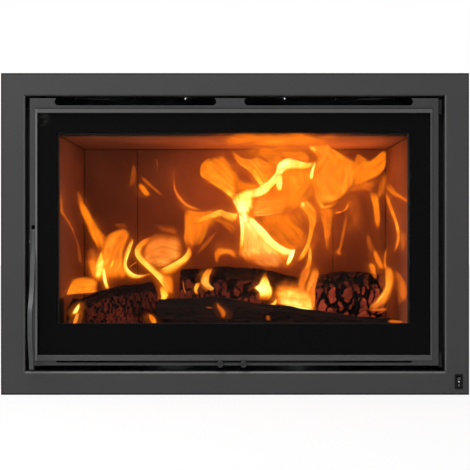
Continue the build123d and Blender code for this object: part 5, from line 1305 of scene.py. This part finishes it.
        (278, 288, 288, 288, 34, 32), (281, 271, 294, 271, 42, 36), (282, 254, 292, 253, 38, 32),
        (277, 237, 287, 237, 28, 24),
    )),
    "hook_r_tip": (150, 80, 20, (40, 40, 40, 20), (
        (257.7, 254.2, 259.4, 254.2, 30, 30), (255, 240.6, 258.8, 240.6, 38, 36),
        (253.3, 226.9, 257.7, 226.9, 42, 40), (253.6, 215, 260.5, 215.6, 44, 42),
    )),
    "right_hook": (150, 93, 20, (30, 55, 25, 30), (
        (254, 224, 265, 224, 42, 38), (255, 212, 270, 212, 50, 42), (256, 198, 273, 198, 56, 42),
        (255, 186, 271, 184, 60, 42), (249, 173, 266, 169, 64, 44), (238, 161, 256, 154, 66, 46),
        (226, 152, 241, 144, 60, 46), (215, 146, 224, 141, 44, 36),
    )),
    "right_veil": (62, 66, 25, (50, 35, 40, 45), (
        (262, 225, 277, 220, 30, 32), (269, 208, 286, 203, 34, 38), (273, 191, 294, 186, 34, 40),
        (275, 174, 294, 171, 34, 40), (275, 159, 289, 158, 32, 36), (272.4, 145, 279.2, 146.7, 24, 26),
    )),
    "right_lick": (170, 85, 10, (40, 40, 30, 40), (
        (226, 227, 237, 227, 38, 38), (228, 217, 241, 216, 46, 42), (233, 205, 242, 204, 46, 40),
        (239, 195.2, 243.4, 194.5, 30, 28),
    )),
    "right_lick_top": (172, 80, 10, (40, 40, 50, 40), (
        (234.5, 252.5, 238.3, 252.5, 24, 24), (236, 239, 245, 240, 36, 34), (241, 225, 252, 226, 42, 38),
        (248.2, 212.2, 255, 211.6, 38, 34),
    )),
    "hook_base": (140, 60, 40, (40, 50, 40, 40), (
        (227, 143.3, 230.4, 147.4, 45, 45), (244, 142, 249, 149, 42, 42), (261, 141, 265, 151, 34, 34),
    )),
    "right_post": (150, 90, 30, (45, 16, 30, 25), (
        (132, 220, 143, 222, 45, 50), (127, 206, 143, 205, 46, 56), (122, 191, 139, 189, 46, 58),
        (119, 176, 138, 174, 50, 54), (117, 160, 138, 158, 56, 52), (116, 148, 139, 144, 66, 56),
    )),
    "left_post": (152, 80, 35, (50, 35, 35, 30), (
        (119, 225, 131, 227, 40, 50), (111, 210, 129, 210, 40, 46), (107, 193, 121, 191, 42, 46),
        (107, 176, 119, 176, 48, 48), (107, 160, 118, 160, 55, 50),
    )),
    "post_tip": (156, 93, 15, (30, 30, 35, 30), (
        (127.3, 258.3, 128.7, 258.3, 45, 45), (125.6, 247.4, 130.4, 247.4, 58, 56),
        (123.9, 235.5, 131.4, 235.5, 62, 56), (121, 222, 130, 222, 56, 50), (116, 210, 124, 208, 45, 42),
    )),
    "low_sheet": (146, 95, 20, (12, 60, 40, 20), (
        (61, 156, 60, 179, 50, 42), (73, 154, 71, 188, 66, 42), (85, 152, 85, 193, 78, 44),
        (99, 149, 99, 193, 82, 44), (113, 146, 112, 189, 82, 46), (126, 143, 124, 181, 78, 48),
        (138, 143, 135, 165, 66, 50),
    )),
    "low_shine": (142, 85, 0, (70, 70, 50, 50), (
        (82, 164, 80, 183, 84, 84), (90, 162, 90, 186, 92, 92), (99, 160, 99, 183, 88, 88),
        (109, 157, 107, 176, 78, 78),
    )),
    "low_line": (140, 90, 0, (30, 70, 40, 30), (
        (75.1, 152.1, 75.7, 156.9, 70, 66), (90.4, 150.1, 91.1, 155.9, 86, 76),
        (107.5, 146.7, 108.2, 154.2, 92, 78), (123, 143, 124, 152, 90, 78),
        (136.5, 141.6, 137.2, 149.1, 82, 70),
    )),
    "small_peak": (138, 98, 0, (22, 22, 30, 45), (
        (50.5, 210.5, 51.8, 210.5, 60, 60), (44, 198, 57, 198, 78, 76), (39, 189, 60, 189, 90, 84),
        (32, 183, 64, 182, 96, 86), (40, 175, 65, 174, 86, 78), (40, 165, 62, 164, 56, 56),
        (42, 157, 57, 156, 32, 34),
    )),
    "peak_foot": (136, 93, 0, (35, 35, 30, 40), (
        (69.2, 166.1, 71, 165.8, 60, 60), (65.8, 159.3, 71.6, 159.3, 72, 70), (59, 155, 68, 152, 74, 70),
        (53.5, 154.2, 58.7, 151.8, 50, 50),
    )),
    "middle_flame": (176, 95, 20, (25, 16, 25, 30), (
        (-46, 220, -36, 219, 46, 46), (-51, 212, -39, 212, 56, 54), (-56, 204, -43, 203, 60, 60),
        (-59, 194, -44, 193, 60, 64), (-53, 185, -41, 187, 56, 60), (-41, 177, -33, 181, 52, 60),
        (-27, 170, -22, 174, 50, 56), (-12, 164.1, -9.6, 166.5, 40, 44),
    )),
    "middle_haze": (180, 60, 20, (50, 50, 40, 50), (
        (-60, 191, -50, 189, 46, 42), (-58, 181, -41, 179, 40, 40), (-51, 172, -31, 171, 30, 34),
    )),
    "middle_lick": (172, 95, 10, (25, 35, 25, 35), (
        (-66, 192, -57, 193, 48, 46), (-69.4, 184.9, -61.5, 184.9, 62, 54),
        (-69.7, 177.4, -63.9, 177.4, 66, 54), (-65.6, 169.9, -61.5, 170.2, 46, 42),
    )),
    "end_glint": (170, 60, 40, (40, 40, 40, 40), (
        (-89.5, 196.2, -87.8, 196.2, 35, 35), (-88.8, 184.2, -86.5, 184.2, 50, 46),
        (-85.4, 171.3, -82, 171.6, 46, 40),
    )),
    "front_left_lick": (22, 97, 0, (35, 30, 30, 35), (
        (-265.4, 158.6, -264, 158.6, 66, 66), (-271.5, 150.8, -264.7, 150.1, 84, 84),
        (-277, 143, -268, 142, 90, 86), (-280.1, 135.7, -273.9, 135.4, 60, 60),
    )),
    "front_left_foot": (22, 90, 35, (35, 35, 30, 40), (
        (-269.8, 143.3, -265.7, 142.6, 56, 52), (-273.2, 134.7, -267.1, 133.7, 56, 50),
        (-276, 126.2, -269.8, 124.5, 50, 44), (-277.3, 119.4, -273.2, 119.4, 36, 34),
    )),
    "front_left_spark": (70, 95, 0, (35, 35, 30, 30), (
        (-147.6, 139.8, -142.5, 139.2, 46, 46), (-148, 133, -137, 132, 56, 52),
        (-145, 126, -134, 126, 62, 62), (-139.4, 120.4, -133.9, 120.7, 66, 66),
    )),
    "swirl_spark": (178, 85, 20, (35, 35, 30, 40), (
        (-147.6, 185.3, -140.1, 185.9, 36, 36), (-143.5, 178.1, -134.9, 178.4, 46, 42),
        (-142.1, 169.6, -134.9, 168.9, 54, 44), (-139, 160.3, -132.2, 159.6, 42, 36),
        (-134.9, 151.8, -130.8, 151.8, 26, 24),
    )),
    "front_middle_lick": (58, 75, 20, (40, 40, 30, 40), (
        (-31.5, 158.6, -29.1, 158.6, 28, 28), (-31, 151, -23, 150, 38, 36), (-27, 143, -15, 143, 40, 36),
        (-24, 135.4, -16.1, 134.7, 34, 30), (-22.3, 129.6, -18.8, 129.6, 24, 22),
    )),
    "front_middle_ash": (58, 50, 40, (50, 50, 40, 40), (
        (-51.3, 150.1, -49.6, 151.8, 26, 26), (-44.5, 147.4, -42.8, 150.8, 34, 34),
        (-36.9, 147.7, -35.9, 150.1, 26, 26),
    )),
    "front_spark": (58, 55, 20, (50, 50, 40, 40), (
        (52.9, 137.1, 59.7, 138.1, 28, 28), (52, 131, 62, 131, 36, 34), (53.9, 126.2, 60.4, 126.2, 26, 26),
    )),
    "right_low_strip": (26, 70, 30, (50, 40, 30, 30), (
        (258.8, 124.5, 261.1, 128.9, 30, 30), (269.7, 122.8, 271.4, 128.6, 34, 34),
        (281.6, 122.8, 283.3, 127.2, 34, 34), (289.5, 123.8, 290.2, 126.2, 28, 28),
    )),
    "loose_flame": (285, 88, 0, (40, 40, 35, 30), (
        (-166.4, 360.1, -162.9, 363.5, 32, 32), (-164, 352, -153, 356, 46, 44),
        (-159, 344, -147, 347, 52, 48), (-152, 338, -144, 340, 48, 46),
    )),
    "loose_plume": (295, 60, 15, (50, 45, 50, 50), (
        (-175.2, 404.5, -173.2, 404.5, 16, 16), (-176.9, 389.1, -169.8, 390.8, 28, 28),
        (-179, 375, -166, 377, 32, 30), (-184, 360, -169, 360, 26, 24), (-190, 345, -178, 343, 18, 16),
    )),
    "loose_tail": (292, 60, 15, (50, 50, 40, 50), (
        (-167.4, 377.8, -164.7, 379.9, 26, 26), (-157, 364, -150, 368, 30, 28),
        (-143, 352, -137, 356, 32, 30), (-130, 341, -125, 345, 28, 26),
        (-112.8, 331.7, -109.3, 334.5, 18, 18),
    )),
    "smoke_curl": (300, 45, 40, (50, 50, 50, 50), (
        (-141.8, 400.4, -140.7, 402.8, 16, 16), (-134.9, 399.4, -132.2, 401.7, 26, 26),
        (-134.3, 389.8, -130.5, 390.8, 24, 22), (-137.3, 378.9, -134.3, 378.9, 15, 15),
    )),
    "smoke_arc": (300, 30, 40, (50, 50, 50, 50), (
        (-133.2, 403.8, -133.2, 406.2, 14, 14), (-111, 408.6, -111, 411.3, 20, 20),
        (-87.1, 409.6, -87.1, 412.3, 20, 20), (-64.9, 405.5, -64.9, 407.9, 16, 16),
        (-47.9, 399.4, -47.9, 401.7, 12, 12),
    )),
    "smoke_left": (300, 30, 40, (50, 50, 50, 50), (
        (-193, 399.4, -191.3, 401.1, 14, 14), (-186.2, 390.8, -182.7, 393.2, 20, 20),
        (-177.6, 384, -175.9, 385.7, 16, 16),
    )),
    "smoke_ring": (300, 25, 60, (50, 50, 50, 50), (
        (-66.7, 390.8, -68.4, 394.2, 16, 16), (-71.1, 384, -74.5, 385.7, 20, 20),
        (-71.8, 370.3, -74.5, 370.3, 20, 20), (-66.7, 360.1, -68.4, 358.4, 14, 14),
    )),
    "lobe_smoke": (270, 50, 30, (60, 60, 50, 50), (
        (-213, 288, -207, 295, 20, 20), (-196, 283, -193, 295, 26, 22), (-183, 275, -178, 290, 20, 20),
    )),
    "swirl_haze": (268, 60, 15, (60, 60, 50, 50), (
        (-145, 283, -145, 297, 20, 18), (-128, 276, -126, 295, 28, 22), (-111, 271, -109, 292, 34, 26),
        (-94, 268, -92, 285, 38, 32),
    )),
    "lobe_join": (235, 70, 10, (50, 50, 40, 40), (
        (-232, 247, -217, 244, 38, 36), (-234, 258, -219, 259, 40, 40), (-234, 270, -220, 271, 38, 40),
        (-237, 280, -229, 282, 34, 34),
    )),
    "right_join": (220, 60, 10, (50, 50, 40, 50), (
        (244, 374, 268, 391, 30, 28), (244, 357, 261, 367, 34, 30), (241, 340, 256, 346, 34, 28),
        (237, 323, 249, 326, 28, 22),
    )),
    "arm_low": (246, 60, 20, (50, 60, 40, 50), (
        (-50, 309, -36, 295, 40, 30), (-29, 309, -19, 285, 42, 30), (-9, 302, -5, 271, 44, 30),
        (5, 295, 5, 258, 46, 30),
    )),
    "swirl_smoke": (244, 50, 30, (50, 50, 50, 50), (
        (-77, 227, -67, 247, 30, 30), (-63, 237, -50, 264, 34, 30), (-50, 251, -36, 278, 34, 28),
        (-36, 264, -22, 292, 30, 24),
    )),
    "lobe_veil": (240, 60, 15, (50, 50, 40, 50), (
        (-258, 247, -244, 264, 28, 26), (-254, 227, -234, 247, 34, 30), (-248, 206, -224, 227, 34, 32),
        (-237, 189, -213, 203, 26, 26),
    )),
    "centre_veil": (270, 60, 10, (60, 60, 40, 50), (
        (2, 282, 29, 309, 36, 36), (26, 254, 70, 295, 36, 34), (53, 227, 104, 278, 34, 32),
        (84, 213, 121, 254, 28, 26),
    )),
    "right_veil_high": (262, 55, 10, (60, 60, 40, 50), (
        (162, 340, 217, 357, 30, 30), (169, 312, 224, 333, 30, 28), (179, 282, 227, 302, 26, 24),
        (189, 254, 227, 268, 22, 20),
    )),
    "left_wall_streaks": (120, 40, 50, (50, 50, 50, 50), (
        (-274.9, 276.4, -271.5, 278.1, 20, 20), (-271.5, 255.9, -264.7, 257.6, 24, 22),
        (-270, 235, -261, 237, 24, 24), (-265, 215, -254, 217, 22, 24),
    )),
}

# %% [markdown]
# Smooth curves run through the edge points of each sheet, and a net of small faces is stretched between
# them. Front and back bulge apart a little and meet at the rim, so each sheet is a closed, lens-shaped
# solid. The material needs to know how deep inside the sheet a point lies, so that is worked out here and
# kept as an attribute: 0 on the rim, 1 where the fade ends. Each dense sheet also gets a halo, a wider and
# cooler sheet just behind it, for the glow that the gas round a flame gives.

# %% Stretch the sheets
MM = 0.001
PERCENT = 0.01
SHEET_STEP = 0.0035
CELLS_ACROSS = 14
SHEET_BULGE = 0.006
EDGE_GROWTH = 0.42
EDGE_RIPPLE = 0.05
HALO_ABOVE = 70
HALO_BEHIND = 8
HALO_MARGIN = 11.0
HALO_COOLING = 0.62
HALO_SOFT = (0.55, 0.55, 0.45, 0.45)
SHEET_HIDES = 0.86
FLAME_HALF_SPACE = 0.3
FLAME_CEILING = 0.442
NEAREST_FLAME = 0.016
SHEET_READINGS = ("cover", "hotness", "opacity", "milk", "hides", "across", "run", "seed")


def seen_through_window(x, z, behind):
    """The place, at this depth behind the trim's front, that is seen at (x, z) on that front."""
    widest = FLAME_HALF_SPACE / (1 + NEAREST_FLAME / EYE_DISTANCE)
    x = max(-widest, min(widest, x))
    # A place that would lie in a side wall or in the ceiling is brought forward along the line of sight.
    most = FLAME_HALF_SPACE / max(abs(x), 0.001)
    if z > EYE_HEIGHT + 0.1:
        most = min(most, (FLAME_CEILING - EYE_HEIGHT) / (z - EYE_HEIGHT))
    behind = max(NEAREST_FLAME, min(behind, (most - 1) * EYE_DISTANCE))
    spread = 1 + behind / EYE_DISTANCE
    return Vector((x * spread, FRONT + behind, EYE_HEIGHT + (z - EYE_HEIGHT) * spread))


def smooth_row(rows, place):
    """The row of numbers at a place along the rows, on a Catmull-Rom curve through them."""
    last = len(rows) - 1
    first = min(int(place), last - 1)
    t = place - first
    before, here, there, after = (rows[min(max(first + k, 0), last)] for k in (-1, 0, 1, 2))
    found = []
    for p, q, r, s in zip(before, here, there, after):
        found.append(q + 0.5 * t * (r - p + t * (2 * p - 5 * q + 4 * r - s + t * (3 * (q - r) + s - p))))
    return found


def fade(distance, width):
    """A smooth rise from 0 to 1 over a width."""
    t = min(1.0, max(0.0, distance / max(width, 0.001)))
    return t * t * (3 - 2 * t)


def with_halo(rows, margin, cooling):
    """The rows of a wider and cooler sheet, which glows round and beyond the given one."""
    wider = []
    for xa, za, xb, zb, heat_a, heat_b in rows:
        half = Vector((xb - xa, zb - za)) / 2
        middle = Vector((xa + xb, za + zb)) / 2
        half = half.normalized() * (half.length + margin)
        heats = (heat_a * cooling, heat_b * cooling)
        wider.append((*(middle - half), *(middle + half), *heats))
    first = Vector(wider[0]) * 2 - Vector(wider[1])
    last = Vector(wider[-1]) * 2 - Vector(wider[-2])
    ends = []
    for row, beyond in ((wider[0], first), (wider[-1], last)):
        reach = min(1.0, 1.5 * margin / max((beyond - Vector(row)).length, 1.0))
        ends.append(tuple(Vector(row).lerp(beyond, reach)))
    return [ends[0], *wider, ends[1]]


def sheet_grid(behind, soft, rows):
    """Rows of points across one sheet: place, cover, heat, distance across and distance along in metres."""
    length = 0.0
    for one, two in zip(rows, rows[1:]):
        length += math.dist(one[:4], two[:4]) * MM / 1.4
    steps = max(8, round(length / SHEET_STEP))
    grid = []
    for i in range(steps + 1):
        v = i / steps
        xa, za, xb, zb, heat_a, heat_b = smooth_row(rows, v * (len(rows) - 1))
        # The draught ripples both edges a little, more where the edge is soft.
        ripple = noise.noise_vector(Vector((xa * 0.045, za * 0.045, behind)))
        grow_a = EDGE_GROWTH * soft[0] + ripple[0] * EDGE_RIPPLE * (1 + 2 * soft[0])
        grow_b = EDGE_GROWTH * soft[1] + ripple[1] * EDGE_RIPPLE * (1 + 2 * soft[1])
        edge_a = (xa + (xa - xb) * grow_a, za + (za - zb) * grow_a)
        edge_b = (xb + (xb - xa) * grow_b, zb + (zb - za) * grow_b)
        side_a = seen_through_window(edge_a[0] * MM, edge_a[1] * MM, behind * MM)
        side_b = seen_through_window(edge_b[0] * MM, edge_b[1] * MM, behind * MM)
        ends = fade(v, 0.7 * soft[2]) * fade(1 - v, 0.7 * soft[3])
        line = []
        for j in range(CELLS_ACROSS + 1):
            u = 0.5 - 0.5 * math.cos(math.pi * j / CELLS_ACROSS)
            cover = fade(u, soft[0]) * fade(1 - u, soft[1]) * ends
            bulge = SHEET_BULGE * math.sin(math.pi * u) * math.sin(math.pi * v)
            heat = heat_a + (heat_b - heat_a) * u
            x, z = Vector(edge_a).lerp(Vector(edge_b), u) * MM
            place = seen_through_window(x, z, behind * MM)
            line.append((place, bulge, cover, heat, (side_b - side_a).length * u, length * v))
        grid.append(line)
    return grid


def flame_sheets():
    """One mesh of all the closed sheets, with what the material reads."""
    places, faces = [], []
    readings = {name: [] for name in SHEET_READINGS}
    layers = []
    for behind, opacity, milk, soft, rows in SHEETS.values():
        glows_round = opacity > HALO_ABOVE
        opacity, milk = opacity * PERCENT, milk * PERCENT
        soft = [value * PERCENT for value in soft]
        rows = [(*row[:4], row[4] * PERCENT, row[5] * PERCENT) for row in rows]
        if glows_round:
            halo = with_halo(rows, HALO_MARGIN, HALO_COOLING)
            layers.append((behind + HALO_BEHIND, 0.25 * opacity, 0.5 * milk, 0.0, HALO_SOFT, halo))
        layers.append((behind, opacity, milk, SHEET_HIDES, soft, rows))
    for number, (behind, opacity, milk, hides, soft, rows) in enumerate(layers):
        grid = sheet_grid(behind, soft, rows)
        last_row, last_column = len(grid) - 1, CELLS_ACROSS
        index = {}
        for side in (-1, 1):
            for i, line in enumerate(grid):
                for j, (place, bulge, cover, heat, across, run) in enumerate(line):
                    rim = i in (0, last_row) or j in (0, last_column)
                    if rim and side == 1:
                        index[side, i, j] = index[-1, i, j]
                        continue
                    index[side, i, j] = len(places)
                    places.append(place + Vector((0, side * bulge, 0)))
                    values = (cover, heat, opacity, milk, hides, across, run, number * 0.37)
                    for name, value in zip(readings, values):
                        readings[name].append(value)
        for side in (-1, 1):
            for i in range(last_row):
                for j in range(last_column):
                    corners = [(i, j), (i + 1, j), (i + 1, j + 1), (i, j + 1)]
                    if side == 1:
                        corners.reverse()
                    faces.append([index[(side, *corner)] for corner in corners])
    mesh = bpy.data.meshes.new("flames")
    mesh.from_pydata(places, [], faces)
    for name, values in readings.items():
        mesh.attributes.new(name, "FLOAT", "POINT").data.foreach_set("value", values)
    return mesh


flames = new_object("flames", flame_sheets())
flames.data.shade_smooth()
flames.visible_shadow = False
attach(flames, "insert")
print(len(SHEETS), "sheets,", len(flames.data.polygons), "faces")

# %% [markdown]
# The flame material adds a glowing shader to a clear one, because gas adds its light to what is behind it.
# Its density follows the cover, with a noise that eats into the soft edges. Streaks follow the flow, because
# the noise is read along the sheet's own length. The hotter the spot, the further its colour goes from dull
# red through orange to pale yellow, and milky sheets turn peach, as gas does where soot hides the flame
# behind it.

# %% Colour the flames
flame = Finish("flame")
cover, hotness, opacity, milk, hides, across, run, seed = (flame.reading(name) for name in SHEET_READINGS)
flow = {0: flame.times(across, 60.0), 1: flame.times(run, 12.0), 2: flame.times(seed, 9.0)}
flow_place = flame.add("ShaderNodeCombineXYZ", flow).outputs[0]
streak = flame.cloud(1.0, 4.0, 0.6, flow_place, 1.6)
folds = flame.cloud(22.0, 4.0, 0.6, None, 1.2)
eaten = flame.plus(flame.swing(folds, 1.1), flame.swing(streak, 0.9))
eaten = flame.times(cover, flame.without(cover), eaten, 2.0)
body = flame.step(flame.plus(cover, eaten), 0.02, 1.0)
# Thin sheets break into streaks more than dense ones.
thinnest = flame.spread(opacity, 0.25, 0.84)
strands = flame.times(flame.step(streak, 0.25, 0.62), flame.minus(1.06, thinnest))
veil = flame.plus(thinnest, strands)
dense = flame.times(opacity, flame.spread(hotness, 0.86, 1.25))
thick = flame.maths("MULTIPLY", flame.times(body, veil), dense, clamp=True)
# A sheet has two skins, so each gives half of its light and lets through the square root of what it should.
# Gas hides less of what is behind it than a solid would, and the glow round a flame hides nothing.
through = flame.maths("POWER", flame.minus(1.0, flame.times(thick, hides), clamp=True), 0.5)
skin_light = flame.without(flame.maths("POWER", flame.minus(1.0, thick, clamp=True), 0.5))
# The thin rim of a flame is cooler than its middle, so its colour falls back towards orange there.
rim_heat = flame.times(hotness, flame.spread(body, 0.55, 1.04))
flicker = flame.plus(flame.swing(streak, 0.26), flame.swing(folds, 0.46))
warmth = flame.maths("ADD", rim_heat, flicker, clamp=True)
fire_colour = flame.ramp(
    warmth,
    (0.0, rgb(70, 20, 8)),
    (0.15, rgb(140, 56, 18)),
    (0.28, rgb(206, 92, 16)),
    (0.38, rgb(246, 118, 8)),
    (0.5, rgb(255, 123, 16)),
    (0.62, rgb(255, 151, 30)),
    (0.74, rgb(255, 194, 56)),
    (0.86, rgb(255, 238, 118)),
    (1.0, rgb(255, 252, 178)),
)
peach = flame.ramp(
    warmth,
    (0.1, rgb(124, 50, 22)),
    (0.36, rgb(236, 108, 30)),
    (0.56, rgb(255, 148, 62)),
    (0.85, rgb(255, 226, 148)),
)
fire_colour = flame.blend(milk, fire_colour, peach)
glowing = flame.add("ShaderNodeEmission", {"Color": fire_colour, "Strength": skin_light}).outputs[0]
clear_tone = flame.ramp(through, (0.0, (0, 0, 0, 1)), (1.0, WHITE))
clear_gas = flame.add("ShaderNodeBsdfTransparent", {"Color": clear_tone}).outputs[0]
flame.show(flame.add("ShaderNodeAddShader", {0: clear_gas, 1: glowing}).outputs[0])
flame.tree.nodes.remove(flame.shader)
flames.data.materials.append(flame.material)
print("flame nodes:", len(flame.tree.nodes))

# %% [markdown]
# The fire lights its own chamber. Two small warm lamps stand where the flames are brightest, so that logs
# and boards get the soft orange shading that the glowing sheets alone are too thin to give.

# %% Light the chamber
SEE_THROUGH_SKINS = 64
FIRE_LAMP_COLOUR = (1.0, 0.34, 0.1)
FIRE_LAMPS = {
    "fire_lamp_high": ((0.06, 0.0, 0.32), 0.8),
    "fire_lamp_low": ((0.02, -0.12, 0.2), 0.3),
}
for name, (place, power) in FIRE_LAMPS.items():
    lamp = new_lamp(name, "POINT", place, power)
    lamp.data.color = FIRE_LAMP_COLOUR
    lamp.data.shadow_soft_size = 0.05
    lamp.visible_glossy = False
bpy.context.scene.cycles.transparent_max_bounces = SEE_THROUGH_SKINS
print("fire lamps:", len(FIRE_LAMPS))
